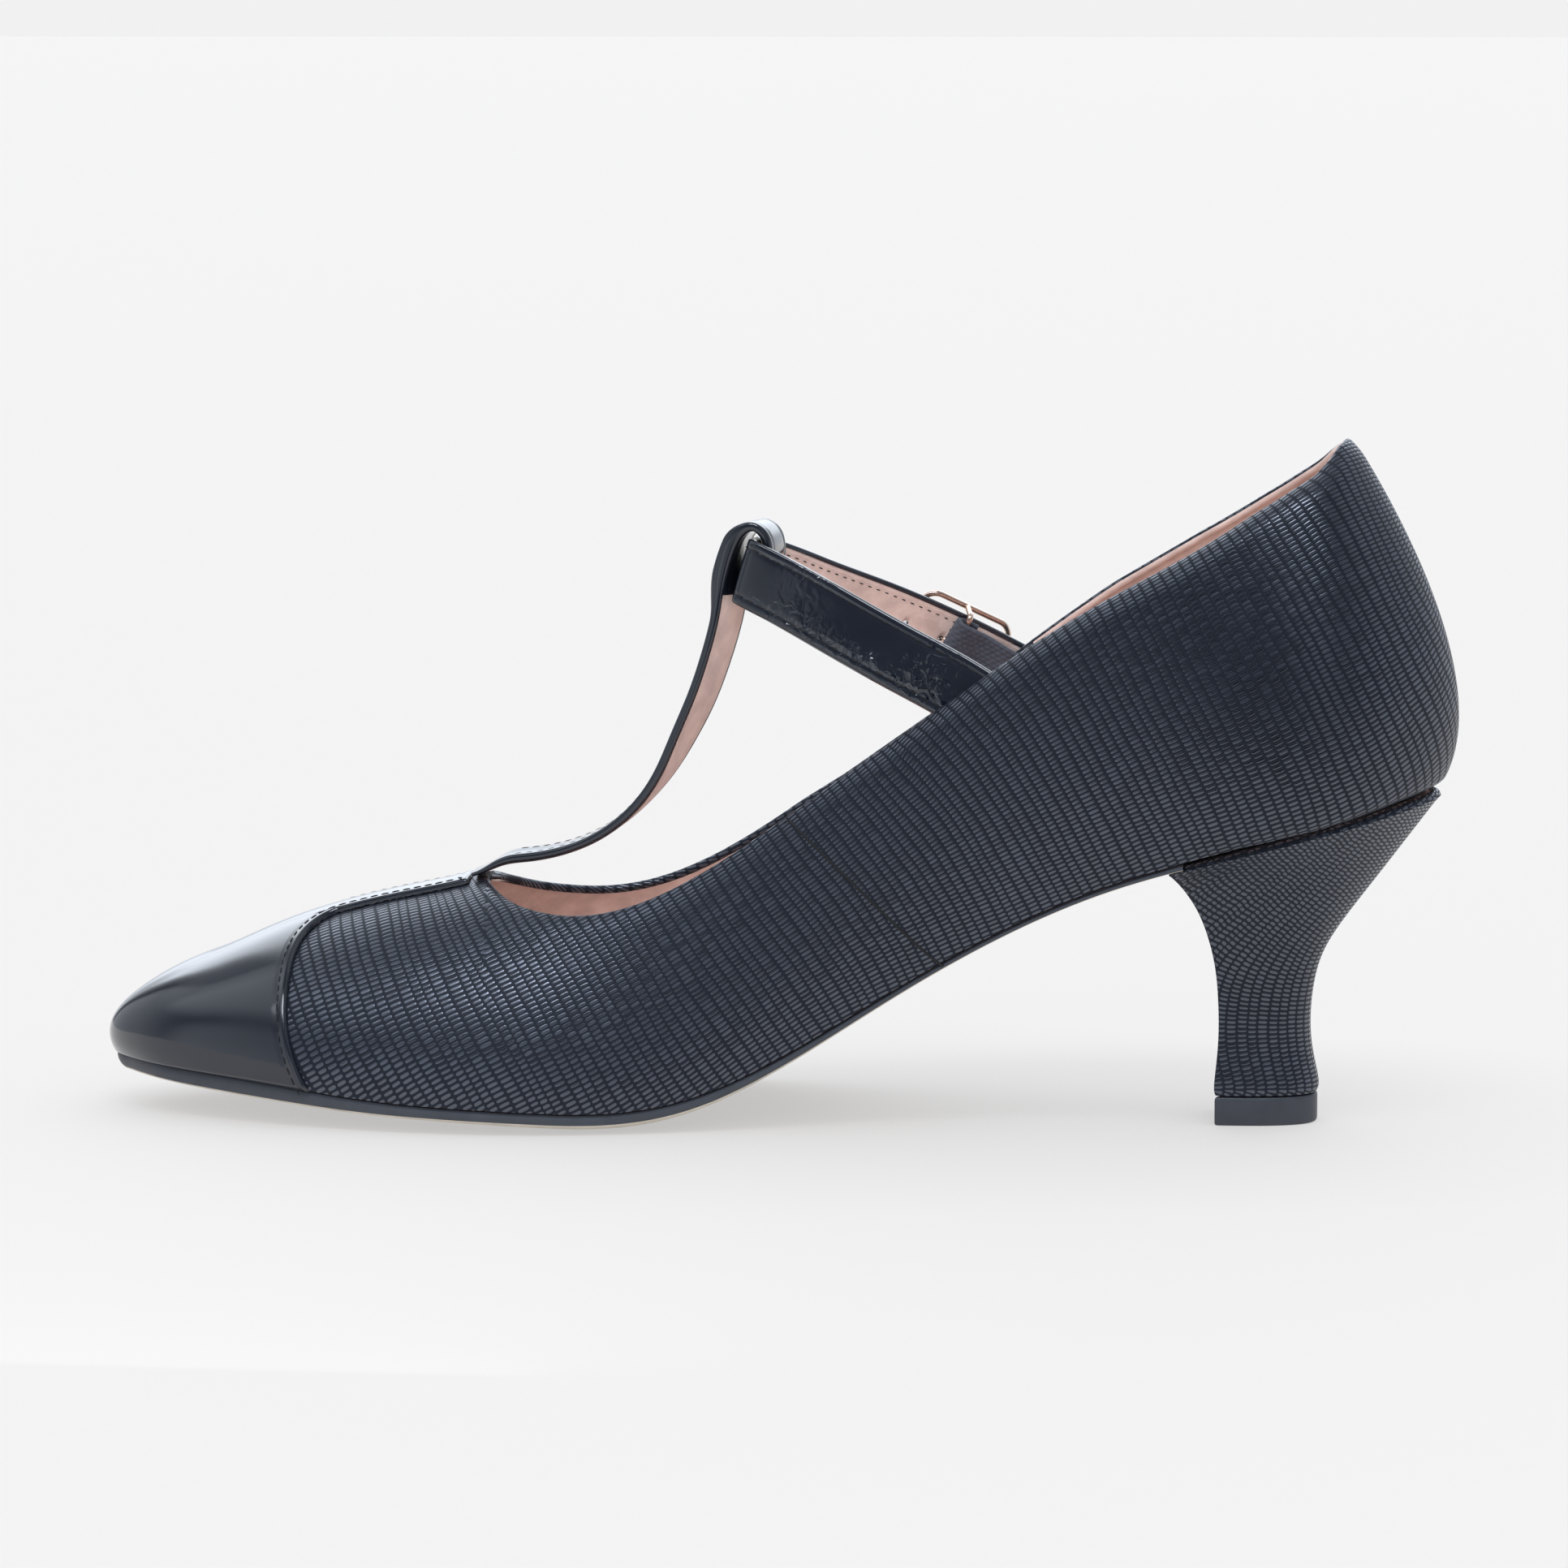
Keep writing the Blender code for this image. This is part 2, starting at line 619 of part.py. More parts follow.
def make_heel(finish, collection):
    """Covered spool heel: drawn in from the seat to a waist, and flared again at its foot."""
    count = 25
    table = open_spline(range(len(HEEL)), [list(level) for level in HEEL])
    levels = [HeelLevel(*table(k)) for k in np.linspace(0, len(HEEL) - 1, 17)]
    rings = [heel_ring(level, count) for level in levels]
    seat = feather(LAST_STATION)
    front = feather(BREAST_STATION)
    rim = HeelLevel(
        BREAST_X,
        front[2] - CLEARANCE,
        seat[0] + 0.2,
        seat[2] - CLEARANCE,
        max(abs(feather(u)[1]) for u in np.linspace(BREAST_STATION, LAST_STATION, 40)),
        1.0,
    )
    rings.append(heel_ring(rim, count))
    return loft("heel", rings, finish, collection)


def make_top_lift(finish, collection):
    """The heel tip: a D-shaped block with a small round at its tread."""
    foot = HEEL[0]
    overhang = 0.2
    rounding = 0.4
    levels = []
    for z, inset in ((0.0, rounding), (rounding, 0.0), (TOP_LIFT_HEIGHT, 0.0)):
        front_x = foot.front_x - overhang + inset
        back_x = foot.back_x + overhang - inset
        level = HeelLevel(front_x, z, back_x, z, foot.half_width - inset, 0.0)
        levels.append(heel_ring(level, 25))
    return loft("top_lift", levels, finish, collection)


def smooth_path(points, count):
    """Points evenly spaced along a smooth curve through rows of values whose first three are a place."""
    points = np.asarray(points, float)
    run = np.concatenate([[0], np.cumsum(np.linalg.norm(np.diff(points[:, :3], axis=0), axis=1))])
    curve = open_spline(run, points)
    return [curve(measure) for measure in np.linspace(0, run[-1], count)]


def ribbon(name, rows, thickness, finish, collection):
    """A strap from rows of points across its width, with its thickness on both sides of them."""
    columns = len(rows[0])
    points = [p for row in rows for p in row]
    faces = grid_faces(len(rows), columns)
    return solidify(mesh_object(name, points, faces, finish, collection), thickness, 0)


def make_t_strap(finish, collection):
    """T-strap: from the end of the vamp strip up the instep and over the ankle strap in a fold."""
    middle = strip_middle(STRIP_END_X)
    rest = CLEARANCE + T_STRAP_THICKNESS / 2
    route = [(x, middle, crown_at(x)[2] + rest) for x in T_STRAP_ROOT]
    route += [(p.x, middle, p.z) for p in T_STRAP]
    path = smooth_path(route, 72)
    root_z = route[0][2]
    top_z = max(p.z for p in T_STRAP)
    rows = []
    for centre in path:
        turn = math.radians(T_STRAP_TWIST) * (centre[2] - root_z) / (top_z - root_z)
        width = np.array([math.sin(turn), math.cos(turn), 0]) * T_STRAP_WIDTH / 2
        rows.append([centre - width, centre, centre + width])
    return ribbon("t_strap", rows, T_STRAP_THICKNESS, finish, collection)


def strap_rows(count):
    """Rows across the ankle strap: each goes from its lower to its upper edge."""
    rows = []
    for row in smooth_path(ANKLE_STRAP, count):
        centre = row[:3]
        set_back, lean, width = row[3:]
        height = math.sqrt(STRAP_WIDTH**2 - set_back**2 - lean**2)
        half = np.array([set_back, lean, height]) / STRAP_WIDTH * width / 2
        rows.append([centre - half, centre, centre + half])
    return rows


def make_ankle_strap(place, finish, collection, cutters):
    """Ankle strap, with the slot that the prong passes through."""
    strap = ribbon("ankle_strap", strap_rows(64), STRAP_THICKNESS, finish, collection)
    slot = place.box("strap_slot", (-5.4, -1.2, -2.0), (0.2, 1.2, 2.0), cutters)
    return combine(strap, slot, "DIFFERENCE")


class StrapPlace:
    """The ankle strap's outer run at the buckle: a middle point and three directions."""

    def __init__(self):
        rows = [row for row in strap_rows(161) if row[1][1] > STRAP_WIDTH]
        k = min(range(1, len(rows) - 1), key=lambda i: abs(rows[i][1][0] - BUCKLE_X))
        self.middle = rows[k][1]
        along = rows[k + 1][1] - rows[k - 1][1]
        self.along = along / np.linalg.norm(along)
        up = rows[k][2] - rows[k][0]
        up -= self.along * (up @ self.along)
        self.up = up / np.linalg.norm(up)
        self.out = np.cross(self.up, self.along)

    def point(self, along, up, out):
        return self.middle + along * self.along + up * self.up + out * self.out

    def box(self, name, low, high, collection):
        """A cutter block between two corners given along, across and out from the strap."""
        levels = []
        for up in (low[1], high[1]):
            corners = ((low[0], low[2]), (high[0], low[2]), (high[0], high[2]), (low[0], high[2]))
            levels.append([self.point(along, up, out) for along, out in corners])
        return as_cutter(loft(name, levels, None, collection))


def tube(name, points, radius, finish, collection, closed=False):
    """A round wire along a route."""
    curve = bpy.data.curves.new(name, "CURVE")
    curve.dimensions = "3D"
    curve.bevel_depth = radius * MM
    curve.bevel_resolution = 2
    curve.use_fill_caps = True
    route = curve.splines.new("POLY")
    route.points.add(len(points) - 1)
    for knot, place in zip(route.points, to_metres(points)):
        knot.co = (*place, 1.0)
    route.use_cyclic_u = closed
    drawn = bpy.data.objects.new(name, curve)
    bpy.context.scene.collection.objects.link(drawn)
    view = bpy.context.evaluated_depsgraph_get()
    mesh = bpy.data.meshes.new_from_object(drawn.evaluated_get(view))
    bpy.data.objects.remove(drawn)
    mesh.name = name
    weld_mesh(mesh, 1e-6)
    mesh.materials.clear()
    return finished_object(name, mesh, finish, collection)


def arc(centre_along, centre_out, radius, start, end, count):
    """Points (along, out) of an arc, with its angles in degrees from along towards out."""
    angles = np.radians(np.linspace(start, end, count))
    return [(centre_along + radius * math.cos(a), centre_out + radius * math.sin(a)) for a in angles]


def make_buckle(place, finish, collection, cutters):
    """Round wire frame over the strap, with a bar set below the strap on two ears."""
    length, width = FRAME_HALF_LENGTH - FRAME_CORNER, FRAME_HALF_WIDTH - FRAME_CORNER
    ring = []
    corners = ((1, 1), (-1, 1), (-1, -1), (1, -1))
    for turn, (back, top) in zip((0, 90, 180, 270), corners):
        centre = FRAME_SHIFT + back * length
        for along, up in arc(centre, top * width, FRAME_CORNER, turn, turn + 90, 6):
            ring.append(place.point(along, up, FRAME_OUT))
    frame = tube("buckle_frame", ring, WIRE_RADIUS, finish, collection, closed=True)
    ear = [(FRAME_HALF_WIDTH, FRAME_OUT), (FRAME_HALF_WIDTH, BAR_OUT)]
    route = ear + [(-up, out) for up, out in reversed(ear)]
    bar = tube("buckle_bar", [place.point(0, up, out) for up, out in route], BAR_RADIUS, None, cutters)
    return combine(frame, as_cutter(bar), "UNION")


def make_prong(place, finish, collection):
    """Prong: an eye round the bar, then through the strap to rest on the front of the frame."""
    route = arc(0, BAR_OUT, PRONG_BEND, -20, -235, 10)
    route += list(PRONG_LEG)
    points = [place.point(along, 0, out) for along, out in route]
    return tube("buckle_prong", points, PRONG_RADIUS, finish, collection)


def make_elastic(place, finish, collection, cutters):
    """Elastic tab: sewn inside the outer quarter, folded round the bar, and slotted for the prong."""
    route = [(2.6, BAR_OUT + ELASTIC_BEND)]
    route += arc(0, BAR_OUT, ELASTIC_BEND, 90, 270, 9)
    route += list(ELASTIC_LEG)
    half = ELASTIC_WIDTH / 2
    rows = [[place.point(along, up, out) for up in (-half, half)] for along, out in route]
    tab = ribbon("elastic_tab", rows, ELASTIC_THICKNESS, finish, collection)
    slot = PRONG_SLOT_WIDTH / 2
    deep = BAR_OUT - ELASTIC_BEND - ELASTIC_THICKNESS
    cutter = place.box("elastic_slot", (-4.0, -slot, deep), (2.8, slot, FRAME_OUT), cutters)
    return combine(tab, cutter, "DIFFERENCE")


def clear_scene():
    for existing in list(bpy.data.objects):
        bpy.data.objects.remove(existing)


def new_collection(name):
    made = bpy.data.collections.new(name)
    bpy.context.scene.collection.children.link(made)
    return made


def main():
    clear_scene()
    shoe = new_collection("t_strap_pump")
    cutters = new_collection("cutters")
    embossed = (0.020, 0.024, 0.032)
    patent = (0.014, 0.016, 0.020)
    rose_gold = (0.72, 0.50, 0.40)
    place = StrapPlace()
    parts = [
        make_upper(material("upper_leather", embossed, 0.5), shoe),
        make_outsole(material("sole_leather", (0.045, 0.050, 0.060), 0.5), shoe),
        make_insole(material("insole_leather", (0.62, 0.36, 0.29), 0.6), shoe),
        make_heel(material("heel_cover_leather", embossed, 0.5), shoe),
        make_top_lift(material("top_lift_rubber", (0.050, 0.056, 0.068), 0.55), shoe),
        make_toe_cap(material("toe_cap_patent", patent, 0.12), shoe, cutters),
        make_t_strap(material("t_strap_patent", patent, 0.12), shoe),
        make_ankle_strap(place, material("ankle_strap_patent", patent, 0.12), shoe, cutters),
        make_elastic(place, material("woven_elastic", (0.030, 0.030, 0.034), 0.8), shoe, cutters),
        make_buckle(place, material("buckle_metal", rose_gold, 0.25, 1.0), shoe, cutters),
        make_prong(place, material("prong_metal", rose_gold, 0.25, 1.0), shoe),
    ]
    stand = bpy.data.objects.new("pump", None)
    shoe.objects.link(stand)
    for part in parts:
        part.parent = stand


main()
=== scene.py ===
"""Looks of a right-foot mary jane pump: embossed leather, patent toe cap and straps, rose-gold buckle.

The shoe stands on z = 0 with its toe towards -X and its inner side, which the photograph shows, towards -Y.
Shape tables are in millimetres, in the measure of the part's drawing.
"""

import math
from collections import namedtuple

import bmesh
import bpy
import numpy as np
from bpy.props import FloatProperty, FloatVectorProperty, PointerProperty
from bpy.types import Operator, Panel, PropertyGroup
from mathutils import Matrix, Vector
from mathutils.kdtree import KDTree


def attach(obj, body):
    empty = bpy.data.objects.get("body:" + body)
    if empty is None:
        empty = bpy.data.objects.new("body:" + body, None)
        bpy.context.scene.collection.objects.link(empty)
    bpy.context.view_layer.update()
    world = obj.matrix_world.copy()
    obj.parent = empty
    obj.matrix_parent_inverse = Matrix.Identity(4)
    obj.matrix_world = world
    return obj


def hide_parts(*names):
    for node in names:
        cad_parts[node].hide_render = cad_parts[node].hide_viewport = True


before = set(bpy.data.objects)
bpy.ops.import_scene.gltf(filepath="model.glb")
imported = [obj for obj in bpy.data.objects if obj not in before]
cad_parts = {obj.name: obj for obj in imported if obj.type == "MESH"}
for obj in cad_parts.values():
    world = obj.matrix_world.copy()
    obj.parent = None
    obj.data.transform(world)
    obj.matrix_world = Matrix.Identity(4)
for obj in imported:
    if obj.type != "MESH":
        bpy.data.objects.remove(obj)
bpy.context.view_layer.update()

bl_info = {
    "name": "T-strap Pump",
    "version": (1, 0, 0),
    "blender": (4, 5, 0),
    "location": "3D View > Sidebar > Pump",
    "description": "Dresses a T-strap mary jane pump in its leathers, stitches and buckle",
    "category": "Object",
}

MM = 0.001

# Middle of the shoe's length and width in the measure of the tables below
DRAWING_MIDDLE = np.array([0.75, -0.1, 0.0])

# Sizes of the part's drawing, in millimetres
CLEARANCE = 0.3
WALL = 1.6
INSOLE_LIFT = 0.25
INSOLE_THICKNESS = 2.0
INSOLE_INSET = 2.3
SOLE_INSET = 0.4
CAP_THICKNESS = 0.8
STRAP_WIDTH = 12.0
STRAP_THICKNESS = 1.5
T_STRAP_WIDTH = 11.6
T_STRAP_THICKNESS = 1.7
ELASTIC_WIDTH = 11.4
ELASTIC_THICKNESS = 1.0
TOP_LIFT_HEIGHT = 5.2
THROAT_X = -53.0
BREAST_X = 73.6


def named_rows(fields, *rows):
    """Rows of a table with a name for each column."""
    row = namedtuple("Row", fields)
    return tuple(row(*values) for values in rows)


# Stations of the last, from the toe tip round to the back of the heel: feather points on the sole, crown
# point on the ridge, and the two handles of the wall's curve between them
Section = namedtuple(
    "Section", "inner_x inner_y outer_x outer_y feather_z crown_x crown_y crown_z bulge rise reach drop"
)
SECTIONS = {
    "tip": Section(-120.6, -5.0, -120.6, -5.0, 9.9, -105.0, -4.0, 26.2, 4.0, 6.0, 0.80, 5.6),
    "toe_corner": Section(-115.2, -15.2, -115.2, 5.2, 9.7, -103.5, -4.0, 26.9, 4.0, 6.5, 0.79, 4.5),
    "toe_side": Section(-105.6, -22.6, -105.6, 13.0, 9.0, -99.0, -3.8, 28.9, 3.5, 8.0, 0.75, 2.4),
    "cap_seam": Section(-88.0, -30.4, -88.0, 23.4, 7.7, -87.0, -3.2, 34.2, 3.0, 10.0, 0.66, 0.4),
    "vamp": Section(-66.0, -36.0, -66.0, 31.8, 5.6, -68.0, -2.4, 39.5, 2.5, 12.0, 0.62, 0.0),
    "ball": Section(-40.0, -36.6, -40.0, 36.6, 4.3, -46.0, -1.4, 46.0, 2.5, 13.0, 0.62, 0.0),
    "waist_front": Section(-10.0, -29.6, -10.0, 35.6, 6.9, -18.0, -0.5, 68.0, 3.0, 15.0, 0.70, 2.0),
    "waist": Section(25.0, -22.4, 25.0, 30.0, 26.0, 15.0, 0.0, 108.0, 5.0, 20.0, 0.95, 14.0),
    "seat_front": Section(62.0, -22.6, 62.0, 26.6, 44.8, 56.0, 0.0, 134.0, 6.0, 20.0, 1.06, 24.0),
    "heel_side": Section(96.0, -24.2, 96.0, 24.8, 54.3, 86.0, 0.0, 139.0, 6.5, 19.0, 0.94, 20.0),
    "heel_corner": Section(114.0, -15.4, 114.0, 16.0, 59.3, 93.0, 0.0, 139.0, 9.0, 19.0, 0.68, 18.0),
    "heel_back": Section(121.0, 0.0, 121.0, 0.0, 61.3, 95.0, 0.0, 138.0, 12.0, 18.7, 0.54, 18.0),
}
LAST_STATION = len(SECTIONS) - 1
LOOP = 2 * LAST_STATION

# Side view of the topline
TOPLINE = named_rows(
    "x z",
    (THROAT_X, 43.5), (-50.0, 42.1), (-44.0, 40.2), (-36.0, 39.0), (-28.0, 39.6), (-20.0, 42.0),
    (-12.0, 45.9), (2.0, 55.0), (23.0, 70.4), (45.0, 86.0), (67.0, 99.2), (88.0, 112.0), (104.0, 124.0),
)

# Outsole: edge thickness and the belly of its underside along the shoe
SOLE = named_rows(
    "x thickness belly",
    (-124.0, 2.0, 0.2), (-90.0, 2.2, 1.0), (-48.0, 2.1, 2.3), (-24.0, 2.1, 2.3), (0.0, 1.9, 1.0),
    (22.0, 1.3, 0.5), (45.0, 1.0, 0.3), (BREAST_X, 1.0, 0.2),
)

# Heel, from its foot up to the rim under the seat
HEEL = named_rows(
    "front_x front_z back_x back_z half_width seat_share",
    (81.5, 5.5, 99.2, 5.5, 9.2, 0.0),
    (81.2, 7.4, 99.6, 7.4, 9.4, 0.0),
    (81.7, 13.0, 98.5, 13.0, 8.9, 0.0),
    (81.9, 19.5, 98.1, 20.0, 8.8, 0.0),
    (81.5, 27.0, 99.4, 28.4, 9.6, 0.1),
    (80.4, 33.4, 103.0, 35.6, 11.9, 0.35),
    (78.5, 39.4, 109.0, 43.7, 15.6, 0.65),
    (76.0, 44.0, 114.8, 51.4, 19.8, 0.88),
    (74.1, 46.6, 120.2, 58.6, 23.8, 1.0),
)
D_ROUNDNESS = 2.6
BREAST_HOLLOW = 0.07

# Side view of the cap's edge, and the strip that runs on from it to the throat
CAP_SEAM = named_rows(
    "z x",
    (0.0, -76.0), (6.0, -79.6), (13.0, -83.0), (20.0, -84.8), (27.0, -85.2), (40.0, -85.2), (70.0, -85.2),
)
STRIP_END_X = -55.2
CAP_CORNER_WIDTH = 14.0
CAP_CORNER_LENGTH = 7.0

# Middle of the T-strap in side view, from its root on the vamp up and over the ankle strap
T_STRAP_ROOT = (-54.8, -53.6)
T_STRAP = named_rows(
    "x z",
    (-48.8, 46.0), (-44.2, 46.7), (-38.0, 48.0), (-31.7, 50.6), (-25.5, 55.2), (-19.4, 62.9), (-16.3, 68.8),
    (-13.2, 75.4), (-10.1, 84.1), (-7.9, 93.0), (-7.1, 99.2), (-6.2, 103.4), (-4.7, 106.3), (-2.7, 107.4),
    (-0.7, 106.4), (0.35, 103.7), (0.1, 99.6), (-1.0, 95.6),
)
T_STRAP_TWIST = 7.0

# Middle line of the ankle strap, with the set of its upper edge against its lower one
ANKLE_STRAP = named_rows(
    "x y z set_back lean",
    (43.6, -18.4, 74.2, 5.4, 2.2),
    (35.5, -16.9, 79.2, 5.4, 2.2),
    (25.6, -16.1, 84.4, 5.4, 2.2),
    (15.8, -14.6, 89.5, 5.4, 2.0),
    (6.0, -11.9, 94.6, 5.4, 1.0),
    (0.4, -10.2, 97.3, 5.2, 0.4),
    (-3.1, -9.2, 98.9, 4.4, 0.0),
    (-4.2, -8.5, 99.4, 3.6, 0.0),
    (-4.5, -7.4, 99.5, 3.2, 0.0),
    (-4.1, -1.9, 99.5, 3.2, 0.0),
    (-3.5, 3.6, 99.3, 3.2, 0.0),
    (-2.7, 5.2, 98.9, 3.8, 0.0),
    (0.6, 8.2, 97.5, 5.0, -0.4),
    (7.0, 13.2, 94.5, 5.4, -1.0),
    (17.0, 19.6, 90.2, 5.4, -2.0),
    (27.0, 24.4, 85.5, 5.4, -2.4),
    (36.0, 28.0, 80.8, 5.4, -2.4),
    (46.0, 30.6, 75.2, 5.4, -2.4),
    (53.0, 31.7, 71.0, 5.4, -2.0),
    (56.0, 32.1, 69.2, 5.4, -2.0),
)

# Length of the strap's tip, and its roundness
STRAP_TIP = 7.0
TIP_ROUNDNESS = 2.2

# Buckle, placed from the middle of the strap's outer run: along the strap, across it, and out from it
BUCKLE_X = 30.0
WIRE_RADIUS = 0.85
BAR_RADIUS = 0.8
PRONG_RADIUS = 0.6
FRAME_HALF_LENGTH = 9.2
FRAME_SHIFT = 0.8
FRAME_HALF_WIDTH = 7.7
FRAME_CORNER = 3.0
FRAME_OUT = STRAP_THICKNESS / 2 + CLEARANCE + WIRE_RADIUS
BAR_OUT = -(STRAP_THICKNESS / 2 + 2 * CLEARANCE + ELASTIC_THICKNESS + BAR_RADIUS)
ELASTIC_BEND = BAR_RADIUS + CLEARANCE + ELASTIC_THICKNESS / 2
PRONG_BEND = BAR_RADIUS + CLEARANCE + PRONG_RADIUS
ELASTIC_LEG = named_rows(
    "along out",
    (4.0, BAR_OUT - ELASTIC_BEND), (9.0, -6.6), (14.0, -7.4), (22.0, -8.5),
)
PRONG_LEG = named_rows(
    "along out",
    (-2.6, 0.4), (-5.0, 2.7), (-8.4, 3.5), (-10.0, 3.2),
)

# Visual trim of the topline, which is not quite even: rise along the shoe on the inner and outer side
TRIMS = named_rows(
    "x inner outer",
    (-18.0, 0.0, 0.0), (2.0, 0.0, -0.2), (10.0, 0.0, -0.9), (26.0, 0.0, -1.0), (40.0, 0.4, -0.5),
    (49.0, 0.7, 0.5), (60.0, 1.0, 1.8), (76.0, 0.7, 2.3), (88.0, 0.8, 2.0), (95.0, 0.0, 1.3),
    (99.5, -0.9, 0.65), (102.4, -0.7, 0.3), (103.6, 0.0, 0.0),
)

# Ends of the seam between vamp and quarter in side view, at the topline and at the feather edge
SIDE_SEAM = ((4.4, 57.0), (33.5, 29.5))

# Behind the throat the edge of the wall comes down to make room for its roll, over this length
ROLL_START = 9.0

# Embossing along the shoe: how far its columns are spread, how far they lean back on their way down at the
# feather edge and at the topline, how its rows shift, and how close they lie at the same two heights
EMBOSSING = named_rows(
    "station spread low high shift rows_low rows_high",
    (0.0, 0.70, 0.46, 0.20, -0.38, 0.69, 0.97),
    (3.0, 0.70, 0.46, 0.20, -0.38, 0.69, 0.97),
    (4.0, 0.76, 0.55, 0.06, -0.36, 0.76, 0.92),
    (5.0, 0.85, 0.46, 0.47, -0.39, 0.79, 1.11),
    (6.0, 0.92, 0.56, 0.44, -0.18, 0.91, 1.18),
    (7.0, 1.30, 0.52, 0.71, 0.30, 0.97, 1.38),
    (8.0, 1.11, 0.53, 0.41, 0.12, 1.08, 1.15),
    (9.0, 1.05, 0.40, 0.45, 0.08, 1.00, 1.20),
    (10.0, 0.85, 0.52, 0.05, 0.04, 1.00, 1.16),
    (11.0, 0.80, 0.50, 0.0, 0.0, 1.00, 1.16),
)


# Curves and surfaces of the last


def hermite(t, start, start_slope, end, end_slope, step=1.0):
    """A cubic curve between two values with given slopes, for t from 0 to 1."""
    return (
        (1 + 2 * t) * (1 - t) ** 2 * start
        + t * (1 - t) ** 2 * step * start_slope
        + t**2 * (3 - 2 * t) * end
        + t**2 * (t - 1) * step * end_slope
    )


def closed_spline(values):
    """A smooth closed curve through rows of values at whole numbers, as a function of the station."""
    values = np.asarray(values, float)
    count = len(values)
    following = np.roll(np.eye(count), 1, axis=1)
    system = 4 * np.eye(count) + following + following.T
    slopes = np.linalg.solve(system, 3 * (np.roll(values, -1, axis=0) - np.roll(values, 1, axis=0)))

    def at(station):
        station = np.asarray(station, float)
        first = np.floor(station).astype(int)
        t = (station - first)[..., None]
        a, b = first % count, (first + 1) % count
        return hermite(t, values[a], slopes[a], values[b], slopes[b])

    return at


def open_spline(knots, values):
    """A natural cubic curve through rows of values at rising knots, as a function of the knot."""
    knots = np.asarray(knots, float)
    values = np.asarray(values, float)
    steps = np.diff(knots)
    count = len(knots)
    system = np.zeros((count, count))
    rise = np.zeros_like(values)
    system[0, :2] = 2, 1
    system[-1, -2:] = 1, 2
    rise[0] = 3 * (values[1] - values[0]) / steps[0]
    rise[-1] = 3 * (values[-1] - values[-2]) / steps[-1]
    for k in range(1, count - 1):
        before, after = steps[k - 1], steps[k]
        system[k, k - 1 : k + 2] = after, 2 * (before + after), before
        rise[k] = 3 * (
            after * (values[k] - values[k - 1]) / before + before * (values[k + 1] - values[k]) / after
        )
    slopes = np.linalg.solve(system, rise)

    def at(measure):
        measure = np.asarray(measure, float)
        k = np.clip(np.searchsorted(knots, measure) - 1, 0, count - 2)
        step = steps[k][..., None]
        t = (measure - knots[k])[..., None] / step
        return hermite(t, values[k], slopes[k], values[k + 1], slopes[k + 1], step)

    return at


def spline_of(table, along):
    """An open spline of a table's rows against one of its columns."""
    return open_spline([getattr(row, along) for row in table], [list(row) for row in table])


def station_rows():
    """The section table as one closed loop: out to the heel on the inner side, back on the outer."""
    rows = list(SECTIONS.values())
    inner = [(r.inner_x, r.inner_y) + tuple(r[4:]) for r in rows]
    outer = [(r.outer_x, r.outer_y) + tuple(r[4:]) for r in rows[-2:0:-1]]
    return np.array(inner + outer)


station_at = closed_spline(station_rows())
topline_at = spline_of(TOPLINE, "x")
sole_at = spline_of(SOLE, "x")
seam_at = spline_of(CAP_SEAM, "z")


def from_table(table, value, places, along):
    """One column of a table at some places, in straight lines between its rows."""
    return np.interp(places, [getattr(row, along) for row in table], [getattr(row, value) for row in table])


def unit(vectors):
    """Vectors of the same directions, of length 1."""
    return vectors / np.linalg.norm(vectors, axis=-1, keepdims=True)


def feather(station):
    """Points of the feather edge, where the upper meets the sole."""
    return station_at(station)[..., 0:3]


def crown(station):
    """Points of the crown line, the ridge of the last."""
    return station_at(station)[..., 3:6]


def wall(station, v):
    """Points of the upper's outer face: v runs from the feather edge (0) up to the crown (1)."""
    station, v = np.broadcast_arrays(np.asarray(station, float), np.asarray(v, float))
    row = station_at(station)
    start, end = row[..., 0:3], row[..., 3:6]
    bulge, rise, reach, drop = (row[..., k, None] for k in range(6, 10))
    outwards = (start - end) * np.array([1.0, 1.0, 0.0])
    width = np.linalg.norm(outwards, axis=-1, keepdims=True)
    outwards = outwards / width
    up = np.array([0.0, 0.0, 1.0])
    handle_1 = start + bulge * outwards + rise * up
    handle_2 = end + reach * width * outwards - drop * up
    v = v[..., None]
    w = 1 - v
    return w**3 * start + 3 * w**2 * v * handle_1 + 3 * w * v**2 * handle_2 + v**3 * end


def wall_normal(station, v):
    """Outward unit normals of the upper's outer face."""
    step = 0.01
    v = np.clip(v, step, 1 - step)
    along = wall(station + step, v) - wall(station - step, v)
    up = wall(station, v + step) - wall(station, v - step)
    return unit(np.cross(along, up))


def bisect(function, low, high):
    """Where a function that starts below zero first rises through it, for each pair of limits."""
    low, high = np.array(low, float), np.array(high, float)
    for _ in range(45):
        middle = (low + high) / 2
        below = function(middle) < 0
        low, high = np.where(below, middle, low), np.where(below, high, middle)
    return (low + high) / 2


THROAT_STATION = float(bisect(lambda u: crown(u)[..., 0] - THROAT_X, 0, LAST_STATION))
BREAST_STATION = float(bisect(lambda u: feather(u)[..., 0] - BREAST_X, 0, LAST_STATION))


def from_toe(stations):
    """Stations counted from the toe tip on either side."""
    return np.minimum(stations, LOOP - stations)


def ramp(x, start, end):
    """A smooth rise from 0 to 1 between two places."""
    t = np.clip((x - start) / (end - start), 0, 1)
    return t * t * (3 - 2 * t)


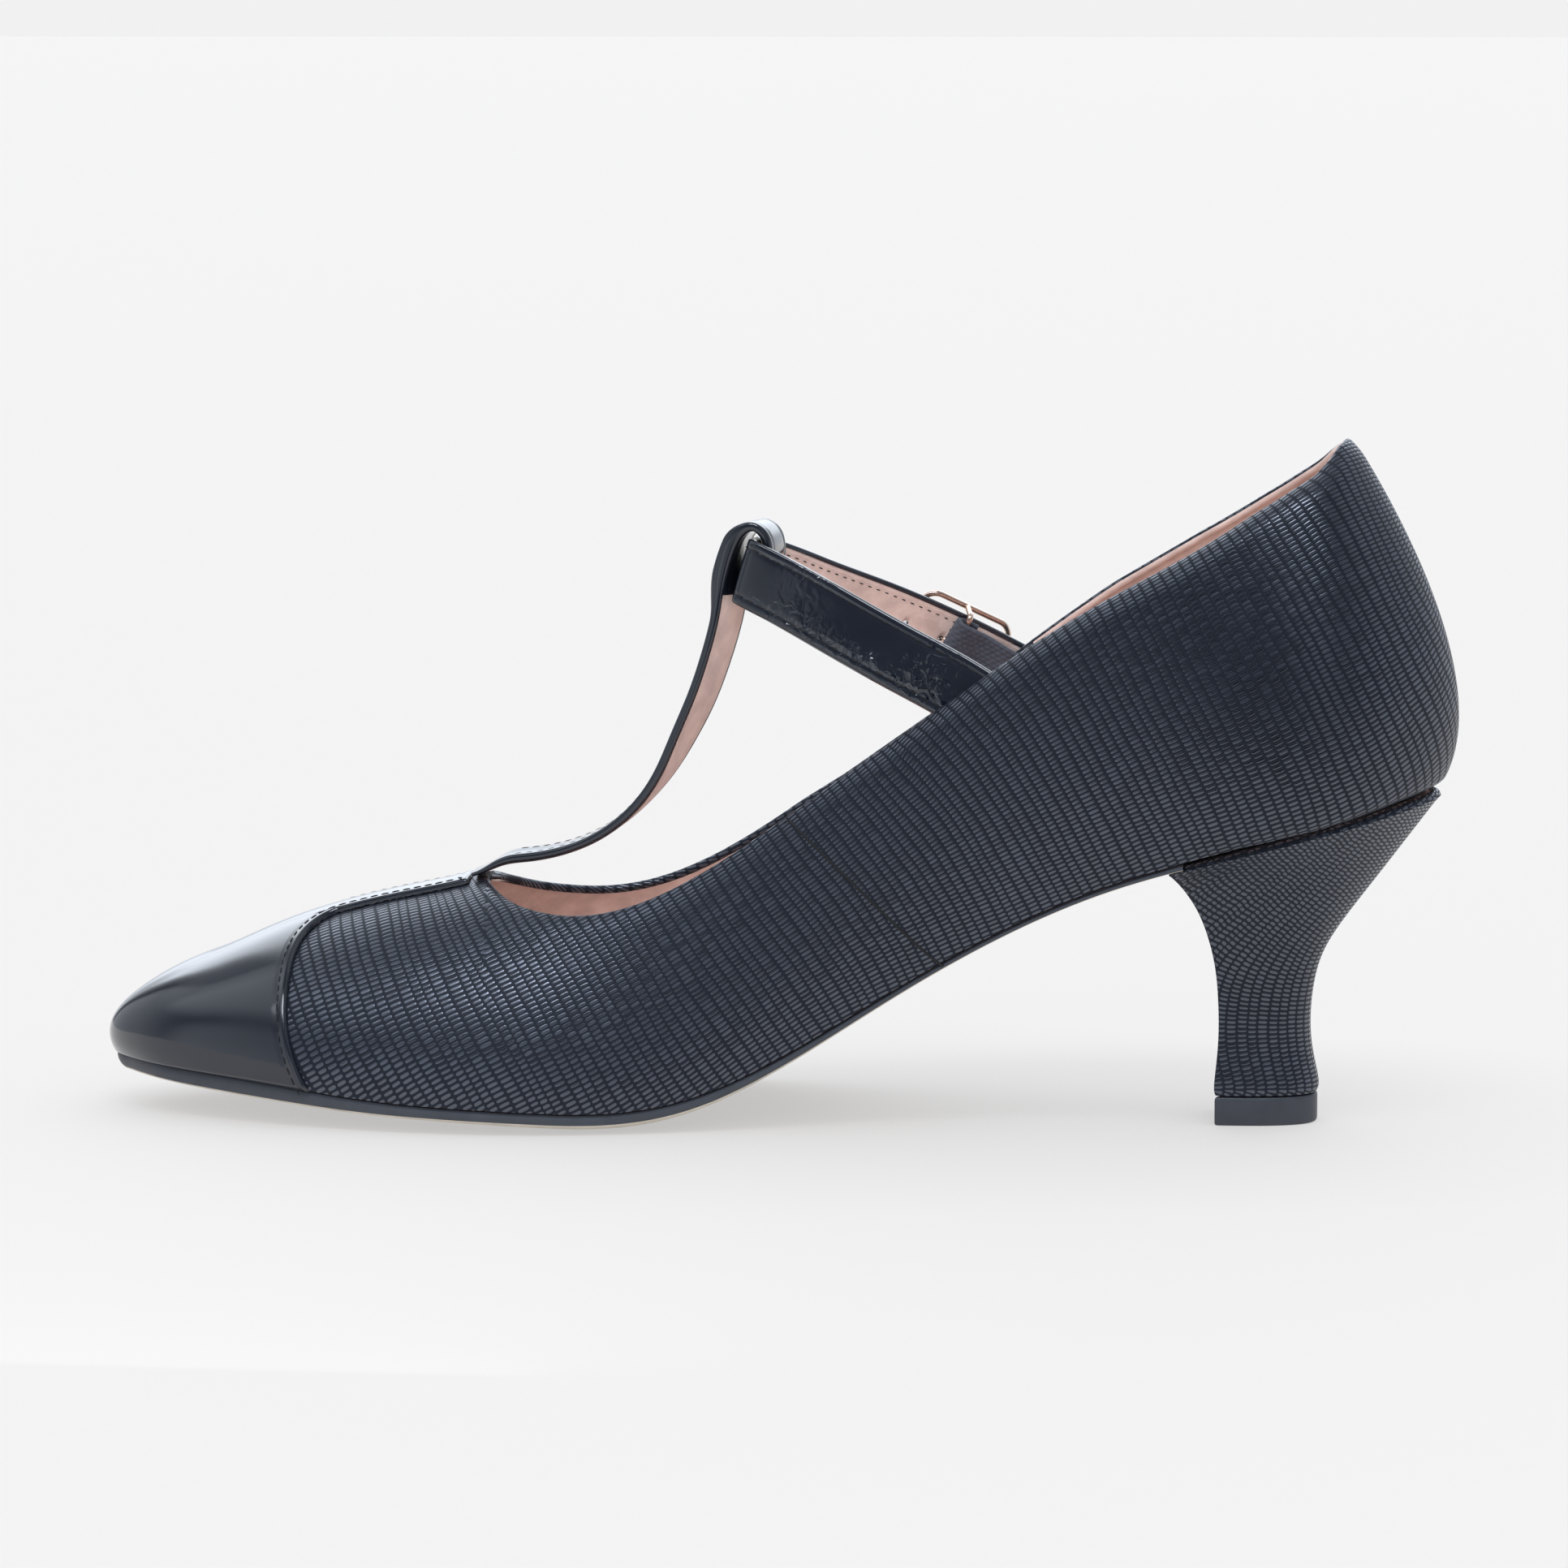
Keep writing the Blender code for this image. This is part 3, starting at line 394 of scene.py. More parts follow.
def topline_v(stations, lowered=0.0):
    """How far up the wall reaches: to the crown ahead of the throat, and to the topline behind it."""
    from_tip = from_toe(stations)

    def above(v):
        point = wall(stations, v)
        x = point[..., 0]
        inner, outer = (from_table(TRIMS, side, x, "x") for side in ("inner", "outer"))
        trim = np.where(stations <= LAST_STATION, inner, outer)
        room = lowered * ramp(x, THROAT_X, THROAT_X + ROLL_START)
        return point[..., 2] - topline_at(x)[..., 1] - trim + room

    found = bisect(above, np.zeros_like(stations), np.ones_like(stations))
    return np.where(from_tip <= THROAT_STATION, 1.0, found)


CROWN_LINE = crown(np.linspace(0, LAST_STATION, 400))


def crown_at(x):
    """Points of the crown line at those x, or its front end."""
    x = np.maximum(x, CROWN_LINE[0, 0])
    y, z = (np.interp(x, CROWN_LINE[:, 0], CROWN_LINE[:, k]) for k in (1, 2))
    return np.stack([x, y, z], axis=-1)


def run_of(points):
    """Distance along a row of points, from its first."""
    return np.concatenate([[0.0], np.cumsum(np.linalg.norm(np.diff(points, axis=0), axis=1))])


def placed_along(line, places):
    """Points of a row at some distances along it."""
    run = run_of(line)
    return np.stack([np.interp(places, run, line[:, k]) for k in range(line.shape[1])], axis=1)


def smooth_path(points, count):
    """Points evenly spaced along a smooth curve through rows of values whose first three are a place."""
    points = np.asarray(points, float)
    run = run_of(points[:, :3])
    return open_spline(run, points)(np.linspace(0, run[-1], count))


# Colours and nodes


def linear(code):
    """Linear red, green and blue of an sRGB hex colour."""
    values = [int(code[k : k + 2], 16) / 255 for k in (1, 3, 5)]
    return tuple(v / 12.92 if v <= 0.04045 else ((v + 0.055) / 1.055) ** 2.4 for v in values)


def add(tree, kind, inputs=None, output=0, **settings):
    """Adds a node with its settings, links or sets its inputs, and gives one of its outputs."""
    made = tree.nodes.new(kind)
    for name, value in settings.items():
        setattr(made, name, value)
    for socket, value in (inputs or {}).items():
        if isinstance(value, bpy.types.NodeSocket):
            tree.links.new(value, made.inputs[socket])
        else:
            made.inputs[socket].default_value = value
    return made.outputs[output] if made.outputs else made


MATH = "ShaderNodeMath"


def finish(name, **sockets):
    """A new material with the sockets of its shader set, as its tree and its shader."""
    made = bpy.data.materials.new(name)
    made.use_nodes = True
    shader = made.node_tree.nodes["Principled BSDF"]
    for socket, value in sockets.items():
        shader.inputs[socket.replace("_", " ")].default_value = value
    return made, made.node_tree, shader


def colours():
    """The colours set in the panel."""
    return bpy.context.scene.pump_colours


def sizes():
    """The sizes set in the panel."""
    return bpy.context.scene.pump_sizes


def shade(colour, share):
    """A colour made darker or lighter, for a socket."""
    return tuple(min(1.0, share * c) for c in colour) + (1.0,)


# A pad in shares of its cell: half its width across its column, half its length from least to greatest, and
# the roundness of its outline both ways
PAD_HALF_WIDTH, PAD_HALF_LENGTH, PAD_ROUNDNESS = 0.40, (0.25, 0.32), (4.0, 2.5)


def foiled_leather():
    """Coated leather with rows of small oblong pads pressed and foiled onto it.

    The ground between the pads is satin and dark; the foiled pads shine like film and are slightly domed,
    so each shows where it, or its rim, catches a bright part of the room.
    """
    made, tree, shader = finish("foiled_leather", IOR=1.7, Specular_Tint=(0.80, 0.86, 1.0, 1.0))
    column_pitch, pad_pitch = sizes().column_pitch / MM, sizes().pad_pitch / MM
    place = add(tree, "ShaderNodeTexCoord", output=3)
    marks = ("column", "along", "shear")
    column, along, shear = (add(tree, "ShaderNodeAttribute", output=2, attribute_name=mark) for mark in marks)
    # the columns wander a little, over some 12 mm, and differ in width, one from the next
    wander = add(tree, "ShaderNodeTexNoise", {"Vector": place, "Scale": 85.0, "Detail": 1.0})
    uneven = {"W": column, "Scale": 0.21, "Detail": 0.0}
    uneven = add(tree, "ShaderNodeTexNoise", uneven, noise_dimensions="1D")
    wide = add(tree, MATH, {0: wander, 1: 0.9, 2: column}, operation="MULTIPLY_ADD")
    wide = add(tree, MATH, {0: uneven, 1: 0.9, 2: wide}, operation="MULTIPLY_ADD")
    wide = add(tree, MATH, {0: wide, 1: column_pitch}, operation="DIVIDE")
    number = add(tree, MATH, {0: wide}, operation="FLOOR")
    across = add(tree, MATH, {0: wide, 1: number}, operation="SUBTRACT")
    across = add(tree, MATH, {0: across, 1: 0.5}, operation="SUBTRACT")
    turned = add(tree, MATH, {0: across, 1: column_pitch}, operation="MULTIPLY")
    run = add(tree, MATH, {0: turned, 1: shear, 2: along}, operation="MULTIPLY_ADD")
    run = add(tree, MATH, {0: wander, 1: 0.5, 2: run}, operation="MULTIPLY_ADD")
    run = add(tree, MATH, {0: run, 1: pad_pitch}, operation="DIVIDE")
    own = add(tree, "ShaderNodeTexWhiteNoise", {"W": number}, noise_dimensions="1D")
    run = add(tree, MATH, {0: own, 1: 0.3, 2: run}, operation="MULTIPLY_ADD")
    rung = add(tree, MATH, {0: run}, operation="FLOOR")
    within = add(tree, MATH, {0: run, 1: rung}, operation="SUBTRACT")
    within = add(tree, MATH, {0: within, 1: 0.5}, operation="SUBTRACT")
    which = add(tree, "ShaderNodeCombineXYZ", {0: number, 1: rung})
    chance = add(tree, "ShaderNodeTexWhiteNoise", {"Vector": which}, noise_dimensions="2D")
    # a pad is a rounded oblong across its column, some longer than others
    half = {"Value": chance, "To Min": PAD_HALF_LENGTH[0], "To Max": PAD_HALF_LENGTH[1]}
    half = add(tree, "ShaderNodeMapRange", half)
    rims = []
    for offset, reach, power in zip((across, within), (PAD_HALF_WIDTH, half), PAD_ROUNDNESS):
        off = add(tree, MATH, {0: offset}, operation="ABSOLUTE")
        off = add(tree, MATH, {0: off, 1: reach}, operation="DIVIDE")
        rims.append(add(tree, MATH, {0: off, 1: power}, operation="POWER"))
    rim = add(tree, MATH, {0: rims[0], 1: rims[1]}, operation="ADD")
    pad = add(tree, "ShaderNodeMapRange", {"Value": rim, "From Min": 1.3, "From Max": 0.7})
    # fine nap of the coating, 0.4 mm, and slow clouds in its tone, 25 mm
    nap = add(tree, "ShaderNodeTexNoise", {"Vector": place, "Scale": 2600.0, "Detail": 2.0})
    patch = add(tree, "ShaderNodeTexNoise", {"Vector": place, "Scale": 40.0, "Detail": 2.0})
    ground, foil = colours().ground, colours().foil
    tones = ((patch, shade(ground, 0.8), shade(ground, 1.25)), (chance, shade(foil, 0.6), shade(foil, 1.4)))
    between, film = (
        add(tree, "ShaderNodeMix", {0: share, 6: dark, 7: light}, output=2, data_type="RGBA")
        for share, dark, light in tones
    )
    colour = add(tree, "ShaderNodeMix", {0: pad, 6: between, 7: film}, output=2, data_type="RGBA")
    tree.links.new(colour, shader.inputs["Base Color"])
    smooth = add(tree, "ShaderNodeMapRange", {"Value": chance, "To Min": 0.20, "To Max": 0.32})
    rough = add(tree, "ShaderNodeMix", {0: pad, 2: 0.55, 3: smooth})
    tree.links.new(rough, shader.inputs["Roughness"])
    gloss = add(tree, "ShaderNodeMapRange", {"Value": pad, "To Min": 0.22, "To Max": 1.0})
    tree.links.new(gloss, shader.inputs["Specular IOR Level"])
    # pads are domed, and each leans a little its own way
    dome = add(tree, MATH, {0: 1.0, 1: rim}, operation="SUBTRACT", use_clamp=True)
    lean = add(tree, "ShaderNodeMapRange", {"Value": chance, "To Min": -1.5, "To Max": 1.5})
    lean = add(tree, MATH, {0: lean, 1: within, 2: 1.0}, operation="MULTIPLY_ADD")
    height = add(tree, MATH, {0: dome, 1: lean}, operation="MULTIPLY")
    height = add(tree, MATH, {0: nap, 1: 0.3, 2: height}, operation="MULTIPLY_ADD")
    bump = add(tree, "ShaderNodeBump", {"Strength": 1.0, "Distance": 0.00003, "Height": height})
    tree.links.new(bump, shader.inputs["Normal"])
    return made


def lacquered_calf():
    """Calf leather under thick clear lacquer: near-black, mirror-bright, with a faint pull in its shine."""
    made, tree, shader = finish(
        "lacquered_calf", Coat_Weight=1.0, Coat_Roughness=0.045, Coat_IOR=1.5, Specular_IOR_Level=0.2
    )
    place = add(tree, "ShaderNodeTexCoord", output=3)
    # slow drift of tone, 8 mm
    tone = add(tree, "ShaderNodeTexNoise", {"Vector": place, "Scale": 120.0, "Detail": 3.0})
    colour = add(tree, "ShaderNodeValToRGB", {"Fac": tone}).node
    for stop, share in zip(colour.color_ramp.elements, (0.8, 1.25)):
        stop.color = shade(colours().patent, share)
    tree.links.new(colour.outputs[0], shader.inputs["Base Color"])
    dull = add(tree, "ShaderNodeMapRange", {"Value": tone, "To Min": 0.16, "To Max": 0.30})
    tree.links.new(dull, shader.inputs["Roughness"])
    # grain of the hide under the lacquer, 0.8 mm, and the lacquer's slow waves, 5 mm
    grain = add(tree, "ShaderNodeTexNoise", {"Vector": place, "Scale": 1200.0, "Detail": 1.0})
    wave = add(tree, "ShaderNodeTexNoise", {"Vector": place, "Scale": 200.0, "Detail": 0.0})
    height = add(tree, MATH, {0: wave, 1: 8.0, 2: grain}, operation="MULTIPLY_ADD")
    # creases where a strap is bent, 2.5 mm
    crease = add(tree, "ShaderNodeAttribute", output=2, attribute_name="crease")
    wrinkle = {"Vector": place, "Scale": 400.0, "Detail": 1.5, "Distortion": 1.0}
    wrinkle = add(tree, "ShaderNodeTexNoise", wrinkle)
    wrinkle = add(tree, MATH, {0: wrinkle, 1: crease}, operation="MULTIPLY")
    height = add(tree, MATH, {0: wrinkle, 1: 420.0, 2: height}, operation="MULTIPLY_ADD")
    bump = add(tree, "ShaderNodeBump", {"Strength": 0.5, "Distance": 0.000004, "Height": height})
    tree.links.new(bump, shader.inputs["Normal"])
    tree.links.new(bump, shader.inputs["Coat Normal"])
    return made


def pigskin_lining():
    """Unfinished pigskin lining: salmon pink, matt, with a soft pebbled grain and a slight mottling."""
    made, tree, shader = finish("pigskin_lining", Sheen_Weight=0.25, Specular_IOR_Level=0.3)
    place = add(tree, "ShaderNodeTexCoord", output=3)
    # mottling, 5 mm, and the pebbles of the grain, 0.8 mm
    mottle = add(tree, "ShaderNodeTexNoise", {"Vector": place, "Scale": 210.0, "Detail": 4.0})
    colour = add(tree, "ShaderNodeValToRGB", {"Fac": mottle}).node
    for stop, spot, share in zip(colour.color_ramp.elements, (0.3, 0.7), (0.80, 1.14)):
        stop.position = spot
        stop.color = shade(colours().lining, share)
    tree.links.new(colour.outputs[0], shader.inputs["Base Color"])
    rough = add(tree, "ShaderNodeMapRange", {"Value": mottle, "To Min": 0.58, "To Max": 0.74})
    tree.links.new(rough, shader.inputs["Roughness"])
    pebble = add(tree, "ShaderNodeTexVoronoi", {"Vector": place, "Scale": 1300.0})
    bump = add(tree, "ShaderNodeBump", {"Strength": 0.5, "Distance": 0.0001, "Height": pebble})
    tree.links.new(bump, shader.inputs["Normal"])
    return made


# Plain finishes: colour, roughness, size and depth of the grain in millimetres, and other sockets
PLAIN_FINISHES = {
    # painted sole edge: waxed and burnished, so a broad soft shine
    "painted_sole_edge": ("sole_edge", 0.42, 0.5, 0.04, {}),
    # folded edge of coated leather: satin and dark
    "folded_edge": ("thread", 0.65, 0.4, 0.03, {}),
    # split-leather tread: pale, dry and fibrous
    "split_tread": ("sole", 0.78, 0.6, 0.08, {}),
    # moulded polyurethane top lift: even and satin
    "moulded_rubber": ("rubber", 0.5, 0.4, 0.03, {}),
    # waxed polyester thread: dark, with a thin line of shine
    "sewing_thread": ("thread", 0.5, 0.2, 0.03, {}),
    # woven elastic: dull yarn with a little sheen
    "woven_elastic": ("elastic", 0.7, 0.3, 0.04, {"Sheen_Weight": 0.15}),
    # polished, rose-gold plated die-cast buckle: warm and mirror-like
    "rose_gold_plate": ("metal", 0.2, 0.8, 0.006, {"Metallic": 1.0}),
}


def plain_finish(name):
    """A finish with a fine grain and a slight drift of tone over some eight grains."""
    colour, rough, grain, depth, sockets = PLAIN_FINISHES[name]
    grain = grain * MM
    made, tree, shader = finish(name, **sockets)
    place = add(tree, "ShaderNodeTexCoord", output=3)
    tone = add(tree, "ShaderNodeTexNoise", {"Vector": place, "Scale": 0.12 / grain, "Detail": 4.0})
    drift = add(tree, "ShaderNodeValToRGB", {"Fac": tone}).node
    for stop, spot, share in zip(drift.color_ramp.elements, (0.25, 0.75), (0.85, 1.15)):
        stop.position = spot
        stop.color = shade(getattr(colours(), colour), share)
    tree.links.new(drift.outputs[0], shader.inputs["Base Color"])
    dull = add(tree, "ShaderNodeMapRange", {"Value": tone, "To Min": rough - 0.06, "To Max": rough + 0.08})
    tree.links.new(dull, shader.inputs["Roughness"])
    speck = add(tree, "ShaderNodeTexNoise", {"Vector": place, "Scale": 1.0 / grain, "Detail": 2.0})
    bump = add(tree, "ShaderNodeBump", {"Strength": 0.4, "Distance": depth * MM, "Height": speck})
    tree.links.new(bump, shader.inputs["Normal"])
    return made


def material(name):
    """The finish of that name, made when it is first asked for."""
    leathers = {made.__name__: made for made in (foiled_leather, lacquered_calf, pigskin_lining)}
    if name in bpy.data.materials:
        return bpy.data.materials[name]
    return leathers[name]() if name in leathers else plain_finish(name)


# Meshes


def piece(name, points, faces, finishes, worn=None, marks=None, solid=True):
    """A piece in metres from points in millimetres, with each face's finish and its points' marks."""
    mesh = bpy.data.meshes.new(name)
    places = (np.asarray(points, float) - DRAWING_MIDDLE) * MM
    mesh.from_pydata(places.tolist(), [], [tuple(int(k) for k in face) for face in faces])
    for attribute, values in (marks or {}).items():
        layer = mesh.attributes.new(attribute, "FLOAT", "POINT")
        layer.data.foreach_set("value", np.asarray(values, np.float32).ravel())
    if worn is not None:
        mesh.polygons.foreach_set("material_index", np.asarray(worn, np.int32))
    shape = bmesh.new()
    shape.from_mesh(mesh)
    bmesh.ops.remove_doubles(shape, verts=shape.verts, dist=1e-7)
    bmesh.ops.dissolve_degenerate(shape, edges=shape.edges, dist=1e-8)
    if solid:
        bmesh.ops.recalc_face_normals(shape, faces=shape.faces)
    shape.to_mesh(mesh)
    shape.free()
    for finish_name in finishes:
        mesh.materials.append(material(finish_name))
    return placed(name, mesh)


def placed(name, mesh):
    """Puts a finished mesh in the scene, smooth but for its edges."""
    mesh.name = name
    mesh.shade_smooth()
    mesh.set_sharp_from_angle(angle=math.radians(50))
    made = bpy.data.objects.new(name, mesh)
    bpy.context.scene.collection.objects.link(made)
    return made


def grid_faces(rows, columns, closed_rows=False, closed_columns=False):
    """Quads of a grid of points, row after row."""
    i, j = np.meshgrid(
        np.arange(rows if closed_rows else rows - 1),
        np.arange(columns if closed_columns else columns - 1),
        indexing="ij",
    )
    here, there = i * columns, (i + 1) % rows * columns
    after = (j + 1) % columns
    return np.stack([here + j, there + j, there + after, here + after], axis=-1).reshape(-1, 4)


def capped_faces(rows, columns):
    """Quads of a tube of points, ring after ring, and a face over each end."""
    ends = [range(columns), range(rows * columns - 1, (rows - 1) * columns - 1, -1)]
    return [tuple(face) for face in [*grid_faces(rows, columns, closed_columns=True), *ends]]


def shear_of(points, across, along):
    """How far rungs must turn to stand square to their columns, on a grid with its two measures."""

    def slopes(values):
        return np.gradient(values, axis=0), np.gradient(values, axis=1)

    (pa, pb), (ua, ub), (va, vb) = slopes(points), slopes(across), slopes(along)
    e, f, g = (pa * pa).sum(-1), (pa * pb).sum(-1), (pb * pb).sum(-1)
    both = g * ua * va - f * (ua * vb + ub * va) + e * ub * vb
    own = g * ua * ua - 2 * f * ua * ub + e * ub * ub
    return np.clip(-both / np.maximum(own, 1e-9), -3, 3)


def settle(made, node):
    """Lets a piece stand for a CAD node: it rides with the shoe, and the node it stands for is hidden."""
    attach(made, "root")
    if node:
        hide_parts(node)
    return made


# Upper

# The leather curls in along its topline, deeper between two ranges of stations along the quarters
CURL_REACH, CURL_DEPTH, QUARTER_CURL = 4.5, 0.6, 1.6
CURL_START, CURL_END = (6.4, 7.6), (9.3, 10.3)

# The groove above the heel, and the station behind which the outer side's lining shows on the rim
GROOVE_DEPTH, GROOVE_REACH = 0.9, 2.4
RIM_LINING_STATION = 7.6

# Heights up the wall of the outer face's points, closest together at both edges, and of the lining's
HEIGHTS = np.concatenate(
    [np.linspace(0, 0.06, 7), np.linspace(0.06, 0.8, 31)[1:], np.linspace(0.8, 1, 20)[1:]]
)
LINING_HEIGHTS = np.array([1.0, 0.985, 0.965, 0.92, 0.8, 0.6, 0.42, 0.26, 0.12, 0.0])

# The seam between vamp and quarter is a fine bead, sunk a little into the leather
SEAM_RADIUS, SEAM_SUNK = 0.28, 0.06
SEAM_STATIONS = (5.4, 8.4)

# The embossing runs on over the rolled edge, by so much at each of its columns up to a limit
ROLL_STEP, ROLL_LIMIT = 0.35, 3.0


def curl(left, stations):
    """How far the leather curls in, by the distance left to its edge; most along the quarters."""
    from_tip = from_toe(stations)
    depth = CURL_DEPTH + QUARTER_CURL * ramp(from_tip, *CURL_START) * (1 - ramp(from_tip, *CURL_END))
    depth = np.where(from_tip > THROAT_STATION, depth, 0.0)
    depth = depth.reshape(depth.shape + (1,) * (np.ndim(left) - np.ndim(depth)))
    return depth * np.clip(1 - left / CURL_REACH, 0, 1) ** 2


def upper_stations():
    """Stations once round the shoe, closest together at the throat and round the heel."""
    ahead = np.linspace(0, THROAT_STATION, 52)
    share = np.linspace(0, 1, 116)[1:]
    behind = THROAT_STATION + (LAST_STATION - THROAT_STATION) * share**1.35
    inner = np.concatenate([ahead, behind])
    # two rows meet at the back, so that each side's embossing ends there
    return np.concatenate([inner, [LAST_STATION + 1e-4], LOOP - inner[-2:0:-1]])


def emboss_marks(points, stations):
    """Column, place along it, and turn of the rungs, for a grid of the outer face by station and height."""
    from_tip = from_toe(stations)
    inner = stations <= LAST_STATION
    around = run_of(feather(stations[inner]) * np.array([1.0, 1.0, 0.0]))
    climb = np.stack([run_of(row) for row in points])
    top = climb[:, -1:]

    def field(spread, low, high):
        rate = from_table(EMBOSSING, spread, stations[inner], "station")
        travel = np.concatenate([[0.0], np.cumsum((rate[1:] + rate[:-1]) / 2 * np.diff(around))])
        low, high = (from_table(EMBOSSING, name, from_tip, "station")[:, None] for name in (low, high))
        level = np.interp(from_tip, stations[inner], travel)[:, None]
        return level + low * climb + (high - low) * climb**2 / (2 * top), travel[-1]

    column, middle = field("spread", "low", "high")
    along, _ = field("shift", "rows_low", "rows_high")
    shear = shear_of(points, column, along)
    # the outer side mirrors the inner one about the back of the heel
    mirrored = ~inner[:, None]
    return np.where(mirrored, 2 * middle - column, column), along, np.where(mirrored, -shear, shear)


def outer_face(stations, top):
    """Points and normals of the upper's outer face, grooved above the heel and curled in at its topline."""
    v = HEIGHTS * top[:, None]
    u = np.broadcast_to(stations[:, None], v.shape)
    outer, normal = wall(u, v), wall_normal(u, v)
    # round the seat it is drawn in under the foot
    low = np.stack([run_of(row) for row in outer])
    seat = ramp(from_toe(stations), BREAST_STATION - 0.1, BREAST_STATION + 0.4)[:, None]
    outer = outer - (GROOVE_DEPTH * seat * np.clip(1 - low / GROOVE_REACH, 0, 1) ** 2)[..., None] * normal
    left = np.cumsum(np.linalg.norm(np.diff(outer[:, ::-1], axis=1), axis=2), axis=1)[:, ::-1]
    left = np.concatenate([left, np.zeros((len(stations), 1))], axis=1)
    near = curl(left, stations)
    outer = outer - near[..., None] * normal
    rise = unit(np.gradient(outer, axis=1))
    along = unit(np.roll(outer, -1, axis=0) - np.roll(outer, 1, axis=0))
    return outer, np.where((near > 0)[..., None], unit(np.cross(along, rise)), normal)


def make_upper():
    """Embossed upper with its rolled topline and its lining."""
    stations = upper_stations()
    count = len(stations)
    fold = sizes().fold_radius / MM
    top = topline_v(stations, lowered=fold)
    from_tip = from_toe(stations)
    open_here = from_tip > THROAT_STATION
    outer, normal = outer_face(stations, top)
    # ahead of the throat both sides meet on the crown
    mirrored = (-np.arange(count)) % count
    crown_normal = unit(normal[:, -1] + normal[mirrored, -1])
    normal[~open_here, -1] = crown_normal[~open_here]
    # behind it the edge rolls over to the lining
    edge = outer[:, -1]
    edge_run = unit(np.roll(edge, -1, axis=0) - np.roll(edge, 1, axis=0))
    rise = unit(np.cross(normal[:, -1], edge_run))
    rise[~open_here] = 0
    roll = []
    for turn in np.radians(np.linspace(0, 180, 9)[1:-1]):
        lift = WALL / 2 * (math.cos(turn) - 1) * normal[:, -1]
        roll.append(edge + lift + fold * math.sin(turn) * rise)
    inner_v = LINING_HEIGHTS * top[:, None]
    inner_u = np.broadcast_to(stations[:, None], inner_v.shape)
    inner_normal = wall_normal(inner_u, inner_v)
    inner_normal[~open_here, 0] = crown_normal[~open_here]
    inner = wall(inner_u, inner_v) - WALL * inner_normal
    inner_left = np.linalg.norm(inner - inner[:, :1], axis=2)
    inner = inner - curl(inner_left, stations)[..., None] * inner_normal
    inner[open_here, 0] = edge[open_here] - WALL * normal[open_here, -1]
    profile = np.concatenate([outer, np.stack(roll, axis=1), inner], axis=1)
    columns = profile.shape[1]
    # the embossing runs on over the roll
    extra = columns - len(HEIGHTS)
    marks = {}
    for name, values in zip(("column", "along", "shear"), emboss_marks(outer, stations)):
        tail = np.repeat(values[:, -1:], extra, axis=1)
        if name == "along":
            tail = tail + np.minimum(np.arange(1, extra + 1) * ROLL_STEP, ROLL_LIMIT)
        marks[name] = np.concatenate([values, tail], axis=1)
    faces = grid_faces(count, columns, closed_rows=True, closed_columns=True)
    i, j = np.divmod(faces[:, 0], columns)
    rolled = len(HEIGHTS) + len(roll)
    shut = (j >= len(HEIGHTS) - 1) & (j < rolled) & ~open_here[i] & ~open_here[(i + 1) % count]
    # behind the straps the outer side's lining comes up over its rim
    far = (stations[i] > LAST_STATION) & (from_tip[i] > RIM_LINING_STATION)
    lined = (j >= rolled + np.where(far, -4, 1)) & (j < columns - 1)
    made = piece(
        "upper_leather",
        profile.reshape(-1, 3),
        faces[~shut],
        ["foiled_leather", "pigskin_lining"],
        lined[~shut].astype(int),
        marks,
        solid=False,
    )
    return settle(made, "upper")


def side_seam_route(side):
    """Points along the seam between vamp and quarter on one side, from the topline down."""
    stations, heights = np.meshgrid(np.linspace(*SEAM_STATIONS, 181), np.linspace(0, 1, 161), indexing="ij")
    places = wall(stations, heights)
    share = np.linspace(0, 1, 40)
    (start_x, start_z), (end_x, end_z) = SIDE_SEAM
    line = np.stack([start_x + share * (end_x - start_x), start_z + share * (end_z - start_z)], axis=1)
    found = [np.argmin(((places[..., [0, 2]] - spot) ** 2).sum(-1)) for spot in line]
    u = np.polyval(np.polyfit(share, stations.ravel()[found], 3), share)
    v = np.polyval(np.polyfit(share, heights.ravel()[found], 3), share)
    u = u if side > 0 else LOOP - u
    top = topline_v(u, lowered=sizes().fold_radius / MM)
    v = np.minimum(v, top - 0.005)
    points, normal = wall(u, v), wall_normal(u, v)
    left = np.linalg.norm(wall(u, top) - points, axis=1)
    return points - (curl(left, u) + SEAM_SUNK)[:, None] * normal


def make_side_seams():
    """Fine raised seams between vamp and quarters."""
    for name, side in (("inner_seam", 1), ("outer_seam", -1)):
        points, faces = wire(side_seam_route(side), SEAM_RADIUS)
        settle(piece(name, points, faces, ["folded_edge"]), None)


# Toe cap

# The patent rolls over at its edge, rises a little beside it, and is drawn down along its stitches
CAP_ROLL = 0.6
CAP_LIP, CAP_LIP_WIDTH = 0.05, 0.45
CAP_GROOVE, CAP_GROOVE_WIDTH = 0.10, 0.30

# At the feather edge it is thinned to a share, and all of it lies a little lower than its solid
CAP_FOOT, CAP_SUNK = 0.25, 0.05

# It is drawn fuller over the toes
CAP_FULLNESS, CAP_FULL_X, CAP_FULL_REACH = 0.6, -108.5, 9.0


def cap_reach(y, z):
    """How far back the cap reaches, beside the middle of the strip and at a height."""
    beside = np.abs(y) - T_STRAP_WIDTH / 2
    w = np.clip(beside / CAP_CORNER_WIDTH, 0, 1)
    corner = CAP_CORNER_LENGTH * (1 - np.sqrt(1 - (1 - w) ** 2))
    return np.where(beside < 0, STRIP_END_X, seam_at(np.clip(z, 0, 69))[..., 1] + corner)


